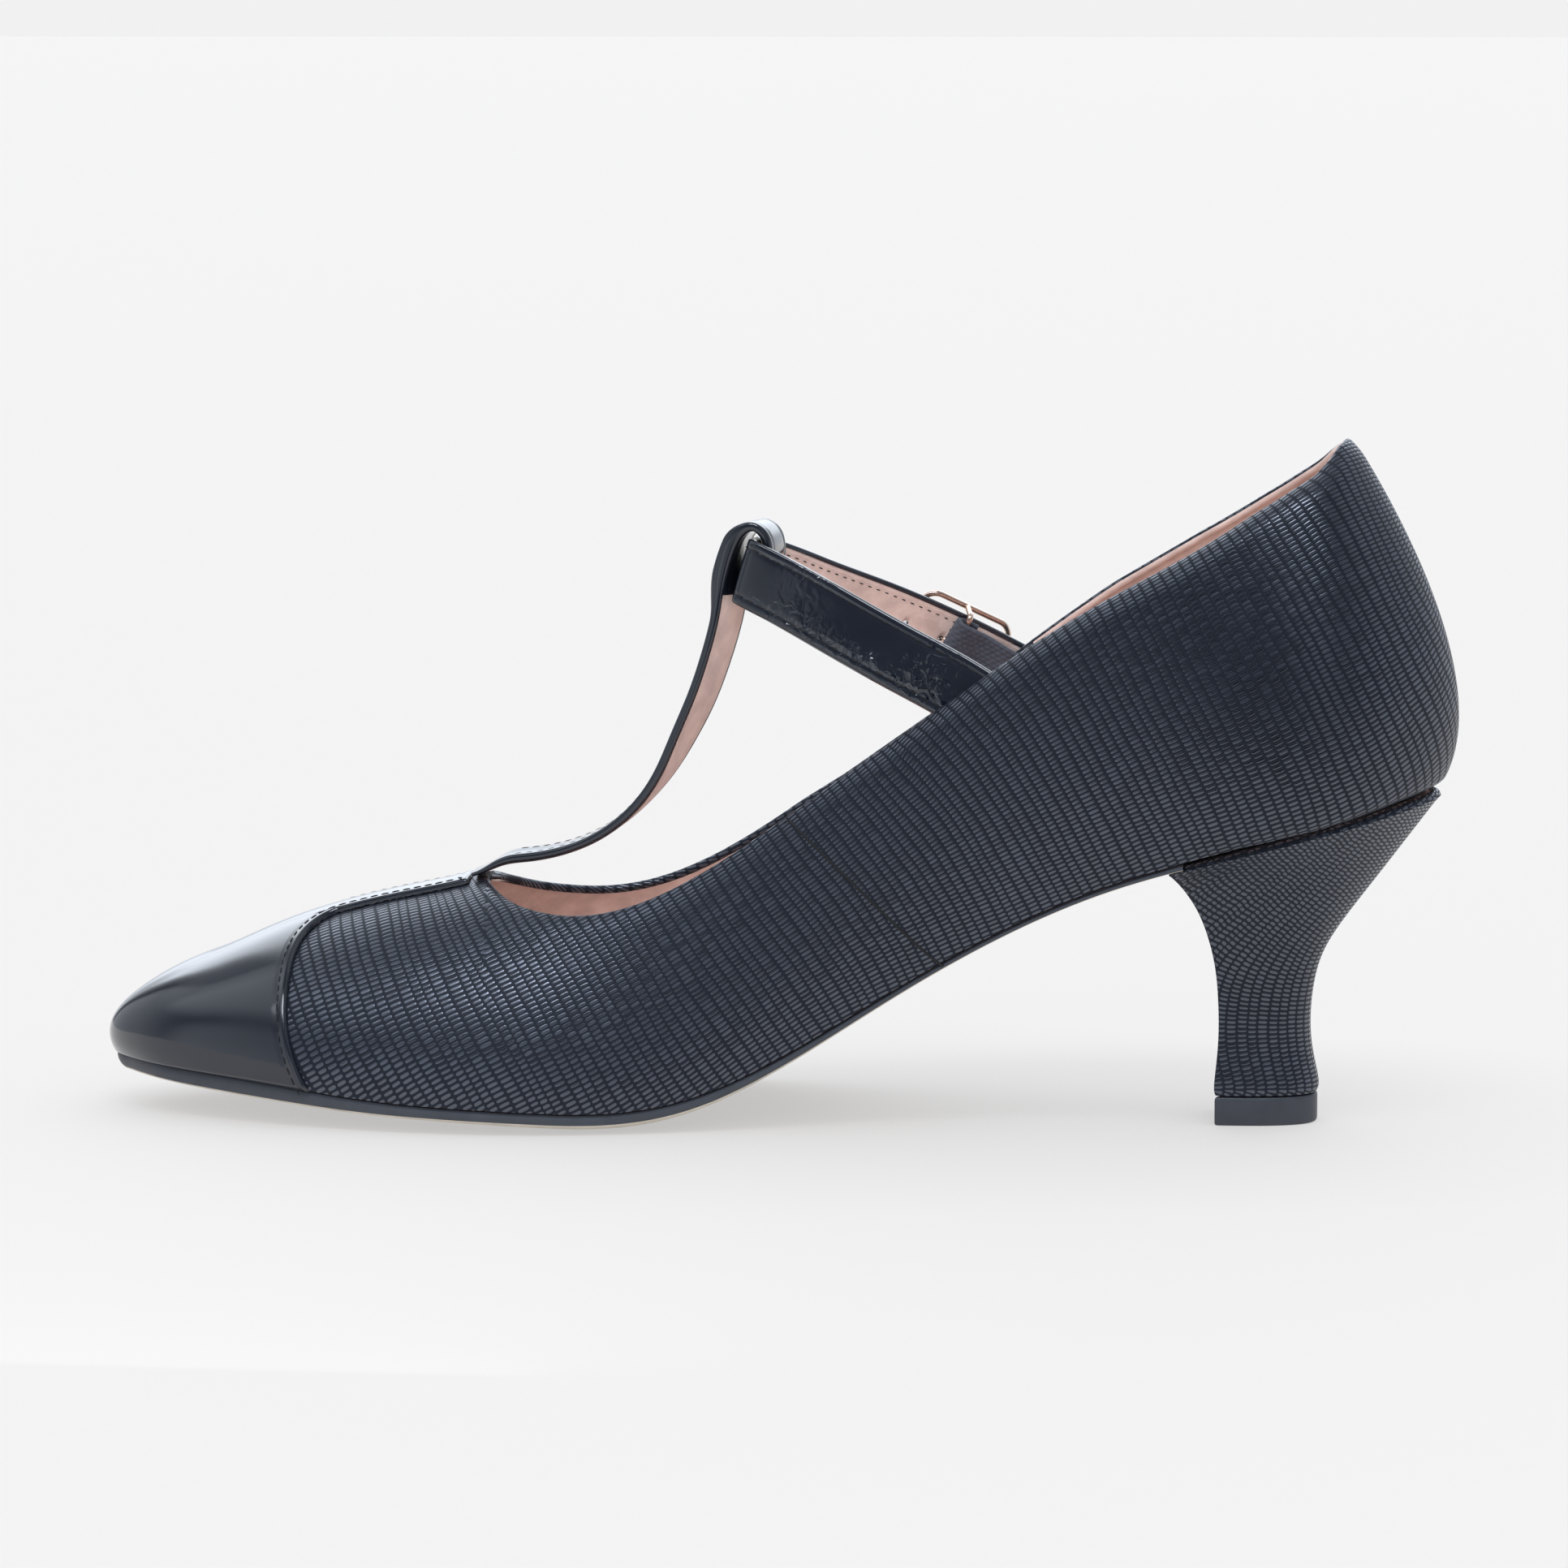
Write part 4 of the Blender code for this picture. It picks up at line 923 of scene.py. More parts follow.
def cap_end(v, side):
    """The station where the cap ends, for each height, on the inner (1) or outer (-1) side."""

    def beyond(u):
        point = wall(side * u, v)
        return point[..., 0] - cap_reach(point[..., 1] - crown_at(point[..., 0])[..., 1], point[..., 2])

    trial = np.linspace(0.5, THROAT_STATION, 300)
    outside = np.array([beyond(np.full_like(v, u)) >= 0 for u in trial])
    first = np.argmax(outside, axis=0)
    first = np.where(outside.any(axis=0), first, len(trial) - 1)
    return bisect(beyond, trial[np.maximum(first - 1, 0)], trial[first])


def cap_rows(side, count):
    """Heights whose rows end evenly spaced along the cap's edge."""
    v = 1 - np.linspace(1, 0, 1600) ** 1.5
    run = run_of(wall(side * cap_end(v, side), v))
    return np.interp(np.linspace(0, run[-1], count), run, v)


def cap_grid():
    """Places of the cap on the last: heights, stations and the points of its edge."""
    v = np.unique(np.round(np.concatenate([cap_rows(1, 96), cap_rows(-1, 96), [0.012, 0.03]]), 5))
    v[0], v[-1] = 0.0, 1.0
    share = 1 - np.linspace(1, 0, 56) ** 1.7
    inner, outer = cap_end(v, 1), cap_end(v, -1)
    u = np.concatenate([-outer[:, None] * share[None, :0:-1], inner[:, None] * share[None, :]], axis=1)
    edges = [wall(inner, v), wall(-outer, v)]
    return v, u, edges


def edge_distance(points, edges):
    """Distance of points from the nearest of some edges."""
    dense = np.concatenate([placed_along(line, np.arange(0, run_of(line)[-1], 0.05)) for line in edges])
    tree = KDTree(len(dense))
    for k, place in enumerate(dense):
        tree.insert(place, k)
    tree.balance()
    return np.array([tree.find(point)[2] for point in points.reshape(-1, 3)]).reshape(points.shape[:-1])


def cap_height(distance, foot):
    """Height of the patent above the last: rolled over at its edge, drawn down along the stitches."""
    inset, full = sizes().stitch_inset / MM, CLEARANCE + CAP_THICKNESS
    roll = np.clip(distance / CAP_ROLL, 0, 1)
    height = full * np.sqrt(np.clip(1 - (1 - roll) ** 2, 0, 1))
    height = height + CAP_LIP * np.exp(-(((distance - inset * 0.5) / CAP_LIP_WIDTH) ** 2))
    height = height - CAP_GROOVE * np.exp(-(((distance - inset) / CAP_GROOVE_WIDTH) ** 2))
    return height * (CAP_FOOT + (1 - CAP_FOOT) * ramp(foot, -0.001, 0.03)) - CAP_SUNK


def make_toe_cap():
    """Patent toe cap and vamp strip, drawn over the last."""
    v, u, edges = cap_grid()
    grid_v = np.broadcast_to(v[:, None], u.shape)
    points = wall(u, grid_v)
    normal = wall_normal(u, grid_v)
    distance = edge_distance(points, edges)
    full = CAP_FULLNESS * np.exp(-(((points[..., 0] - CAP_FULL_X) / CAP_FULL_REACH) ** 2))
    full = full * np.clip(normal[..., 2], 0, 1)
    points = points + (cap_height(distance, grid_v) + full)[..., None] * normal
    rows, columns = u.shape
    middle = columns // 2
    # both halves of the crown row lie on one line
    points[-1, :middle] = points[-1, :middle:-1]
    faces = grid_faces(rows, columns)
    made = piece(
        "toe_cap_patent",
        points.reshape(-1, 3),
        faces,
        ["lacquered_calf"],
        marks={"crease": np.zeros(rows * columns)},
        solid=False,
    )
    return settle(made, "toe_cap")


# Straps

# Degrees by which the stem turns its lining to the inner side, and where along it that begins and ends
T_STRAP_TURN = 14.0
TURN_START, TURN_END = (30.0, 55.0), (74.0, 88.0)

# The T-strap's end is turned in and sewn down below the loop's top, which doubles it there and hides the end
# of its lining; places along it from the top
DOUBLED_START, DOUBLED_END, DOUBLED_SHARE = (-20.0, -10.0), (-5.0, 0.0), 0.75
LINING_END = -15.0


def t_strap_path(count=230):
    """Middle, across and half width of the T-strap, from the vamp to its end behind the ankle strap."""
    middle = float(crown_at(STRIP_END_X)[1])
    rest = CLEARANCE + T_STRAP_THICKNESS / 2
    route = [(x, middle, float(crown_at(x)[2]) + rest) for x in T_STRAP_ROOT]
    route += [(p.x, middle, p.z) for p in T_STRAP]
    path = smooth_path(route, count)
    low, high = route[0][2], max(p.z for p in T_STRAP)
    turn = np.radians(T_STRAP_TWIST) * (path[:, 2] - low) / (high - low)
    run = run_of(path)
    turn = turn + np.radians(T_STRAP_TURN) * ramp(run, *TURN_START) * (1 - ramp(run, *TURN_END))
    across = -np.stack([np.sin(turn), np.cos(turn), np.zeros_like(turn)], axis=1)
    return path, across, np.full(count, T_STRAP_WIDTH / 2)


def ankle_strap_path(count=300):
    """Middle, across and half width of the ankle strap, from its inner end to its rounded tip."""
    path = smooth_path(ANKLE_STRAP, count)
    set_back, lean = path[:, 3], path[:, 4]
    height = np.sqrt(STRAP_WIDTH**2 - set_back**2 - lean**2)
    across = np.stack([set_back, lean, height], axis=1) / STRAP_WIDTH
    run = run_of(path[:, :3])
    left = np.clip((run[-1] - run) / STRAP_TIP, 0, 1)
    half = STRAP_WIDTH / 2 * np.sqrt(np.clip(1 - (1 - left) ** TIP_ROUNDNESS, 0.0004, 1))
    return path[:, :3], across, half


def strap_frame(path, across):
    """Directions along a strap, and out of its patent face."""
    along = unit(np.gradient(path, axis=0))
    across = unit(across - along * (across * along).sum(1, keepdims=True))
    return along, across, np.cross(across, along)


def strap_profile(thickness, inset):
    """Cross-section of a strap for one half of each face: distance from its edge, height, and finish."""
    r = thickness / 2
    turns = np.radians([0, 22, 45, 67])
    face = [(r * 0.8 * (1 - math.cos(t)), r * math.sin(t), 0) for t in turns]
    outer = face + [
        (0.9, r, 0),
        (inset - 0.42, r + 0.03, 0),
        (inset - 0.14, r - 0.10, 0),
        (inset + 0.14, r - 0.10, 0),
        (inset + 0.42, r, 0),
        (inset + 1.2, r + 0.04, 0),
        (inset + 2.6, r + 0.06, 0),
    ]
    inner = [(d, -h, 0) for d, h, _ in face[1:]] + [
        (0.75, -r, 0),
        (0.85, -r + 0.12, 1),
        (1.2, -r + 0.02, 1),
        (inset - 0.2, -r - 0.01, 1),
        (inset + 0.15, -r + 0.06, 1),
        (inset + 0.55, -r, 1),
        (inset + 2.6, -r, 1),
    ]
    return outer, inner


def strap_piece(name, path, across, half, thickness, crease=None, thin=1.0, lined=None):
    """A strap with patent outside, rolled edges, and a lining inside.

    It may be creased by a function of the place on it, thinned from its outer face, and left unlined
    along a part of its length.
    """
    _, across, out = strap_frame(path, across)
    outer, inner = strap_profile(thickness, sizes().stitch_inset / MM)
    ring = [(d, h, f, -1) for d, h, f in outer] + [(0.0, outer[-1][1] + 0.01, 0, 0)]
    ring += [(d, h, f, 1) for d, h, f in reversed(outer)]
    ring += [(d, h, f, 1) for d, h, f in inner] + [(0.0, inner[-1][1], 1, 0)]
    ring += [(d, h, f, -1) for d, h, f in reversed(inner)]
    count, columns = len(path), len(ring)
    points = np.zeros((count, columns, 3))
    creased = np.zeros((count, columns))
    run = run_of(path)
    share = np.clip(half / (STRAP_WIDTH / 2), 0, 1)
    low = -thickness / 2
    for j, (d, h, _, side) in enumerate(ring):
        over = side * np.maximum(half - d * np.minimum(1, share + 0.15), 0.0)
        lift = np.where(half < abs(d), np.sign(h) * np.minimum(abs(h), thickness / 2), h)
        lift = low + (lift - low) * thin
        points[:, j] = path + over[:, None] * across + lift[:, None] * out
        if crease is not None and h > 0.3:
            creased[:, j] = crease(run, over)
    worn = np.array([ring[j][2] & ring[(j + 1) % columns][2] for j in range(columns)])
    quads = np.arange((count - 1) * columns)
    worn = worn[quads % columns]
    if lined is not None:
        worn = worn & lined[quads // columns]
    return piece(
        name,
        points.reshape(-1, 3),
        capped_faces(count, columns),
        ["lacquered_calf", "pigskin_lining"],
        np.concatenate([worn, [0, 0]]),
        {"crease": creased},
    )


def make_t_strap():
    """T-strap, thinned at its root to lie level with the strip on the vamp, and doubled at its loop."""
    path, across, half = t_strap_path()
    run = run_of(path)
    past_top = run - run[np.argmax(path[:, 2])]
    doubled = ramp(past_top, *DOUBLED_START) * (1 - ramp(past_top, *DOUBLED_END))
    thin = 0.5 + 0.5 * ramp(run, 0.0, 8.0) + DOUBLED_SHARE * doubled
    lined = past_top < LINING_END
    made = strap_piece("t_strap_patent", path, across, half, T_STRAP_THICKNESS, thin=thin, lined=lined)
    return settle(made, "t_strap")


# Holes in the ankle strap, along it from the buckle's bar
HOLES, HOLE_RADIUS = (-9.9, -2.6, 4.7, 12.0), 0.5

# Where the ankle strap turns round in the loop, along it from its inner end
STRAP_MIDDLE = smooth_path(ANKLE_STRAP, 300)[:, :3]
STRAP_BEND = float(run_of(STRAP_MIDDLE)[np.argmin(STRAP_MIDDLE[:, 0])])


# Creases of the ankle strap, with their places along and across it and how far they spread
CREASES = named_rows(
    "strength along length across width",
    (1.0, 32.0, 11.0, -3.0, 2.4),  # low on its inner run
    (0.9, 16.0, 6.0, -0.6, 3.8),  # where it comes out of the quarter
    (0.4, 44.0, 4.0, 0.0, math.inf),  # faint, ahead of the loop
    (1.0, STRAP_BEND, 1.5, 0.0, math.inf),  # where it turns round in the loop
)


def strap_creases(run, over):
    """How much the ankle strap is creased at a place along and across it, from 0 to 1."""
    depth = 0.0
    for c in CREASES:
        spread = -(((run - c.along) / c.length) ** 2) - ((over - c.across) / c.width) ** 2
        depth = depth + c.strength * np.exp(spread)
    return np.minimum(1.0, depth)


def make_ankle_strap():
    """Ankle strap, with its row of punched holes."""
    path, across, half = ankle_strap_path()
    made = strap_piece("ankle_strap_patent", path, across, half, STRAP_THICKNESS, crease=strap_creases)
    cutter = hole_cutter([buckle_place(along) for along in HOLES], HOLE_RADIUS)
    cut = made.modifiers.new("holes", "BOOLEAN")
    cut.operation = "DIFFERENCE"
    cut.solver = "EXACT"
    cut.object = cutter
    applied(made)
    bpy.data.objects.remove(cutter)
    return settle(made, "ankle_strap")


def applied(made):
    """Makes a piece's modifiers part of its mesh."""
    view = bpy.context.evaluated_depsgraph_get()
    view.update()
    mesh = bpy.data.meshes.new_from_object(made.evaluated_get(view))
    made.modifiers.clear()
    old = made.data
    made.data = mesh
    mesh.name = made.name
    bpy.data.meshes.remove(old)
    return made


# Buckle


class StrapPlace:
    """The ankle strap's outer run at the buckle: a middle point and three directions."""

    def __init__(self):
        path = smooth_path(ANKLE_STRAP, 161)
        height = np.sqrt(STRAP_WIDTH**2 - path[:, 3] ** 2 - path[:, 4] ** 2)
        across = np.stack([path[:, 3], path[:, 4], height], axis=1)
        rows = np.flatnonzero(path[:, 1] > STRAP_WIDTH)[1:-1]
        k = rows[np.argmin(np.abs(path[rows, 0] - BUCKLE_X))]
        self.middle = path[k, :3]
        self.along = unit(path[k + 1, :3] - path[k - 1, :3])
        up = across[k] - self.along * (across[k] @ self.along)
        self.up = unit(up)
        self.out = np.cross(self.up, self.along)

    def point(self, along, up, out):
        """A point measured from the middle: along the strap, up across it, and out from it."""
        return self.middle + along * self.along + up * self.up + out * self.out


PLACE = StrapPlace()

# The wire is drawn a little thinner, and its frame narrower, than their solids
WIRE_THIN = 0.68
WIRE_HALF_WIDTH = FRAME_HALF_WIDTH - 0.8

# How far the elastic's ribs rise, and its rounded edges: their width, and their share of its thickness
RIB_RISE, RIB_SUNK = 0.28, 0.08
ELASTIC_ROUND, ELASTIC_EDGE = 0.5, 0.35

# Thickness of the prong's tip as a share of its own
PRONG_TIP = 0.45


def buckle_place(along):
    """A point on the middle of the strap, measured along it from the buckle's bar, and the way out there."""
    path, across, _ = ankle_strap_path()
    run = run_of(path)
    start = run[np.argmin(np.linalg.norm(path - PLACE.middle, axis=1))]
    _, _, out = strap_frame(path, across)
    k = int(np.argmin(np.abs(run - start - along)))
    return path[k], out[k]


def hole_cutter(holes, radius):
    """Short rods through the strap that punch its holes."""
    points, faces = [], []
    sides = 14
    for centre, out in holes:
        first = unit(np.cross(out, [0, 0, 1.0]))
        second = np.cross(out, first)
        base = len(points)
        for depth in (-2.0, 2.0):
            for k in range(sides):
                turn = 2 * math.pi * k / sides
                spoke = math.cos(turn) * first + math.sin(turn) * second
                points.append(centre + depth * out + radius * spoke)
        for k in range(sides):
            after = (k + 1) % sides
            faces.append((base + k, base + after, base + sides + after, base + sides + k))
        faces.append(tuple(base + k for k in range(sides))[::-1])
        faces.append(tuple(base + sides + k for k in range(sides)))
    return piece("hole_cutter", points, faces, ["lacquered_calf"])


def wire(points, radius, closed=False, taper=None):
    """Points and faces of a round wire along a route."""
    points = np.asarray(points, float)
    count, sides = len(points), 14
    if closed:
        along = unit(np.roll(points, -1, axis=0) - np.roll(points, 1, axis=0))
    else:
        along = unit(np.gradient(points, axis=0))
    first = np.cross(along[0], [0.3, 0.5, 0.8])
    rings = []
    for k in range(count):
        first = unit(first - along[k] * (first @ along[k]))
        second = np.cross(along[k], first)
        r = radius if taper is None else radius * taper[k]
        turns = np.linspace(0, 2 * math.pi, sides, endpoint=False)[:, None]
        rings.append(points[k] + r * (np.cos(turns) * first + np.sin(turns) * second))
    faces = list(grid_faces(count, sides, True, True)) if closed else capped_faces(count, sides)
    return np.concatenate(rings), faces


def arc(centre_along, centre_out, radius, start, end, count):
    """Points (along, out) of an arc, with its angles in degrees from along towards out."""
    angles = np.radians(np.linspace(start, end, count))
    return [(centre_along + radius * math.cos(a), centre_out + radius * math.sin(a)) for a in angles]


def make_buckle_frame():
    """Wire frame with the bar that the elastic and the prong hang on."""
    length, width = FRAME_HALF_LENGTH - FRAME_CORNER, WIRE_HALF_WIDTH - FRAME_CORNER
    ring = []
    corners = ((1, 1), (-1, 1), (-1, -1), (1, -1))
    for turn, (back, top) in zip((0, 90, 180, 270), corners):
        centre = FRAME_SHIFT + back * length
        for along, up in arc(centre, top * width, FRAME_CORNER, turn, turn + 90, 14):
            ring.append(PLACE.point(along, up, FRAME_OUT))
    points, faces = wire(ring, WIRE_THIN * WIRE_RADIUS, closed=True)
    bend = 1.0
    ear = [(WIRE_HALF_WIDTH, FRAME_OUT)]
    ear += [(WIRE_HALF_WIDTH, out) for out in np.linspace(FRAME_OUT - 0.6, BAR_OUT + bend, 6)]
    ear += arc(WIRE_HALF_WIDTH - bend, BAR_OUT + bend, bend, -15, -90, 6)
    route = ear + [(-up, out) for up, out in reversed(ear)]
    bar_points, bar_faces = wire([PLACE.point(0, up, out) for up, out in route], WIRE_THIN * BAR_RADIUS)
    shift = len(points)
    faces = faces + [tuple(shift + k for k in face) for face in bar_faces]
    made = piece("buckle_frame_metal", np.concatenate([points, bar_points]), faces, ["rose_gold_plate"])
    return settle(made, "buckle_frame")


def make_buckle_prong():
    """Prong with its eye round the bar and a tapered tip."""
    route = arc(0, BAR_OUT, PRONG_BEND, -20, -235, 14) + list(PRONG_LEG)
    path = smooth_path([PLACE.point(along, 0, out) for along, out in route], 70)
    taper = np.minimum(1.0, PRONG_TIP + np.linspace(6, 0, 70) ** 0.7)
    points, faces = wire(path, WIRE_THIN * PRONG_RADIUS, taper=taper)
    made = piece("buckle_prong_metal", points, faces, ["rose_gold_plate"])
    return settle(made, "buckle_prong")


def make_elastic():
    """Woven elastic tab folded round the bar, with its ribs and floats raised."""
    route = [(2.6, BAR_OUT + ELASTIC_BEND)]
    route += arc(0, BAR_OUT, ELASTIC_BEND, 90, 270, 13)
    route += list(ELASTIC_LEG)
    path = smooth_path([(along, 0.0, out) for along, out in route], 190)
    run = run_of(path)
    along = unit(np.gradient(path, axis=0))
    across = np.linspace(-ELASTIC_WIDTH / 2, ELASTIC_WIDTH / 2, 64)
    yarn = sizes().elastic_yarn / MM
    # floats pass over and under in turn from one rib to the next
    phase = 2 * math.pi * run[:, None] / (1.5 * yarn) + math.pi * np.floor(across[None, :] / yarn)
    rise = RIB_RISE * np.abs(np.sin(math.pi * across[None, :] / yarn)) * (0.55 + 0.45 * np.sin(phase))
    rounding = np.sqrt(np.clip((ELASTIC_WIDTH / 2 - np.abs(across)) / ELASTIC_ROUND, 0.0, 1.0))[None, :]
    sheets = []
    for face in (1, -1):
        edge = ELASTIC_EDGE + (1 - ELASTIC_EDGE) * rounding
        half = face * (ELASTIC_THICKNESS / 2 * edge + rise * rounding - RIB_SUNK)
        out = np.stack([-along[:, 2], along[:, 0]], axis=1)
        flat_along = path[:, 0][:, None] + half * out[:, 0][:, None]
        flat_out = path[:, 2][:, None] + half * out[:, 1][:, None]
        up = np.broadcast_to(across[None, :], half.shape)
        sheets.append(PLACE.point(flat_along[..., None], up[..., None], flat_out[..., None]))
    loop = np.concatenate([sheets[0], sheets[1][:, ::-1]], axis=1)
    made = piece("elastic_webbing", loop.reshape(-1, 3), capped_faces(*loop.shape[:2]), ["woven_elastic"])
    return settle(made, "elastic_tab")


# Sole and heel

# The sole's edge reaches out and thickens before the ball, and rounds up at the tip of the toe
TOE_REACH, TOE_THICKER, NOSE_LENGTH = 1.2, 0.6, 3.0

# The insole's thickness at its edge, and the width of its rounded rim
INSOLE_EDGE, INSOLE_RIM = 0.6, 1.2

# The heel cover's roll at its rim: how far below it, and the share drawn in towards the rim's middle
RIM_ROLL = ((-1.3, 0.0), (-0.75, 0.008), (-0.3, 0.022), (0.0, 0.05))
RIM_MIDDLE = np.array([95.0, 0.0])


def edge_at(stations, inset):
    """Points of the feather edge, drawn in level towards the middle of the shoe."""
    step = 0.01
    along = feather(stations + step) - feather(stations - step)
    inwards = np.stack([-along[..., 1], along[..., 0], np.zeros_like(along[..., 0])], axis=-1)
    return feather(stations) + np.asarray(inset)[..., None] * unit(inwards)


def across_sole(start, end, columns):
    """Rows of points from one edge to the other, closer together at both, and their places from -1 to 1."""
    share = np.sin(np.linspace(-math.pi / 2, math.pi / 2, columns))
    return start[:, None] + ((share + 1) / 2)[:, None] * (end - start)[:, None], share


def make_outsole():
    """Outsole with its painted, rounded edge and its pale tread."""
    # closest together at the toe; the last ones go in under the heel's rim
    stations = np.concatenate(
        [
            np.geomspace(0.006, 0.1, 9)[:-1],
            np.linspace(0.1, 1, 18)[:-1],
            np.linspace(1, BREAST_STATION + 0.07, 110),
        ]
    )
    up = np.array([0.0, 0.0, 1.0])
    inset = SOLE_INSET - TOE_REACH * (1 - ramp(stations, 0.0, 0.7))
    inner, outer = (edge_at(side, inset) - CLEARANCE * up for side in (stations, LOOP - stations))
    away = unit(outer - inner)
    room = np.linalg.norm(outer - inner, axis=1) / 2
    x = (inner[:, 0] + outer[:, 0]) / 2
    _, thick, belly = sole_at(x).T
    nose = np.clip((x - edge_at(np.array(0.0), SOLE_INSET - TOE_REACH)[0]) / NOSE_LENGTH, 0.02, 1)
    thick = (thick + TOE_THICKER * (1 - ramp(x, -95.0, -55.0))) * np.sqrt(1 - (1 - nose) ** 2)
    belly = belly * np.minimum(1.0, room / 8)
    chamfer = np.minimum(0.28, thick * 0.15)
    # the edge from its top down, drawn in by the first measure
    profile = (
        (0.9, 0.0),
        (0.25, 0.02),
        (0.0, 0.18 * thick),
        (-0.12, 0.42 * thick),
        (-0.08, 0.62 * thick),
        (0.05, thick - chamfer),
    )
    edges = []
    for corner, side in ((inner, 1), (outer, -1)):
        column = []
        for drawn, down in profile:
            shift = side * np.minimum(drawn, 0.9 * room)[:, None] * away
            column.append(corner + shift - np.broadcast_to(down, room.shape)[:, None] * up)
        edges.append(np.stack(column, axis=1))
    bottom, share = across_sole(inner, outer, 25)
    inside = np.minimum(1.0, (1 - np.abs(share)) * room[:, None] / 0.7)
    sunk = thick[:, None] + belly[:, None] * (1 - share**4) - (1 - inside) * (chamfer * 0.6)[:, None]
    bottom[..., 2] = np.maximum(bottom[..., 2] - sunk, 0.0)
    bottom = bottom - (0.3 * (1 - inside) * np.sign(share))[..., None] * away[:, None]
    top = inner[:, None] + np.linspace(0.08, 0.92, 5)[:, None] * (outer - inner)[:, None]
    rows = np.concatenate([top, edges[1], bottom[:, ::-1], edges[0][:, ::-1]], axis=1)
    count, width = rows.shape[:2]
    # the tread follows the top and one edge in each ring
    j = np.arange((count - 1) * width) % width
    before = top.shape[1] + len(profile)
    worn = ((j >= before - 1) & (j < before + len(share))).astype(int)
    made = piece(
        "outsole_leather",
        rows.reshape(-1, 3),
        capped_faces(count, width),
        ["painted_sole_edge", "split_tread"],
        np.concatenate([worn, [0, 0]]),
    )
    return settle(made, "outsole")


def make_insole():
    """Lined insole with a softly rounded rim, hollowed a little for the foot."""
    stations = np.concatenate(
        [
            np.linspace(0.13, 1, 14)[:-1],
            np.linspace(1, LAST_STATION - 1, 90),
            np.linspace(LAST_STATION - 1, LAST_STATION - 0.1, 14)[1:],
        ]
    )
    inner, outer = (edge_at(side, INSOLE_INSET) for side in (stations, LOOP - stations))
    width = np.linalg.norm(outer - inner, axis=1)[:, None]
    place, share = across_sole(inner, outer, 29)
    inside = np.minimum(1.0, (1 - np.abs(share)) * width / 2 / INSOLE_RIM)
    hollow = 0.5 * (1 - share * share) * np.minimum(1.0, width / 40)
    lift = INSOLE_EDGE + (INSOLE_THICKNESS - INSOLE_EDGE) * np.sqrt(1 - (1 - inside) ** 2) - hollow
    up = np.array([0.0, 0.0, 1.0])
    bottom = place + INSOLE_LIFT * up
    rows = np.concatenate([bottom + lift[..., None] * up, bottom[:, ::-1]], axis=1)
    made = piece("insole_lining", rows.reshape(-1, 3), capped_faces(*rows.shape[:2]), ["pigskin_lining"])
    return settle(made, "insole")


def d_outline(count):
    """The heel foot's outline from its inner front corner round: 0 to 1 backwards, -1 to 1 across."""
    angle = np.linspace(-math.pi / 2, math.pi / 2, count)
    along = np.abs(np.cos(angle)) ** (2 / D_ROUNDNESS)
    over = np.sign(np.sin(angle)) * np.abs(np.sin(angle)) ** (2 / D_ROUNDNESS)
    return np.stack([along, over], axis=1)


def seat_outline(count):
    """The seat's outline in the same measure."""
    points = feather(np.linspace(BREAST_STATION, LOOP - BREAST_STATION, count))
    back = points[:, 0].max()
    half = np.abs(points[:, 1]).max()
    return np.stack([(points[:, 0] - BREAST_X) / (back - BREAST_X), points[:, 1] / half], axis=1)


def evenly(outline, count):
    """Points evenly spaced along an outline."""
    return placed_along(outline, np.linspace(0, run_of(outline)[-1], count))


def heel_ring(level, count, hollow_count=13):
    """One level of the heel: its outline round the back, and the hollow breast, as two rows of points."""
    front_x, front_z, back_x, back_z, half_width, share = level
    size = np.array([back_x - front_x, half_width])
    outline = (1 - share) * d_outline(121) + share * seat_outline(121)
    outline = evenly(outline * size, count) / size
    t = np.linspace(0, 1, hollow_count)[1:-1]
    t = np.concatenate([t[: len(t) // 2], [0.497, 0.503], t[len(t) // 2 + 1 :]])[:, None]
    breast = (1 - t) * outline[-1] + t * outline[0]
    breast[:, 0] += BREAST_HOLLOW * np.sin(math.pi * t[:, 0])
    back, over = np.concatenate([outline, breast]).T
    x, z = front_x + back * (back_x - front_x), front_z + back * (back_z - front_z)
    return np.stack([x, over * half_width, z], axis=1)


# The heel's cover has its columns and rows closer together than the upper, and columns of its own
HEEL_CLOSER = (1.1, 1.1)
HEEL_COLUMN_START = 300.0


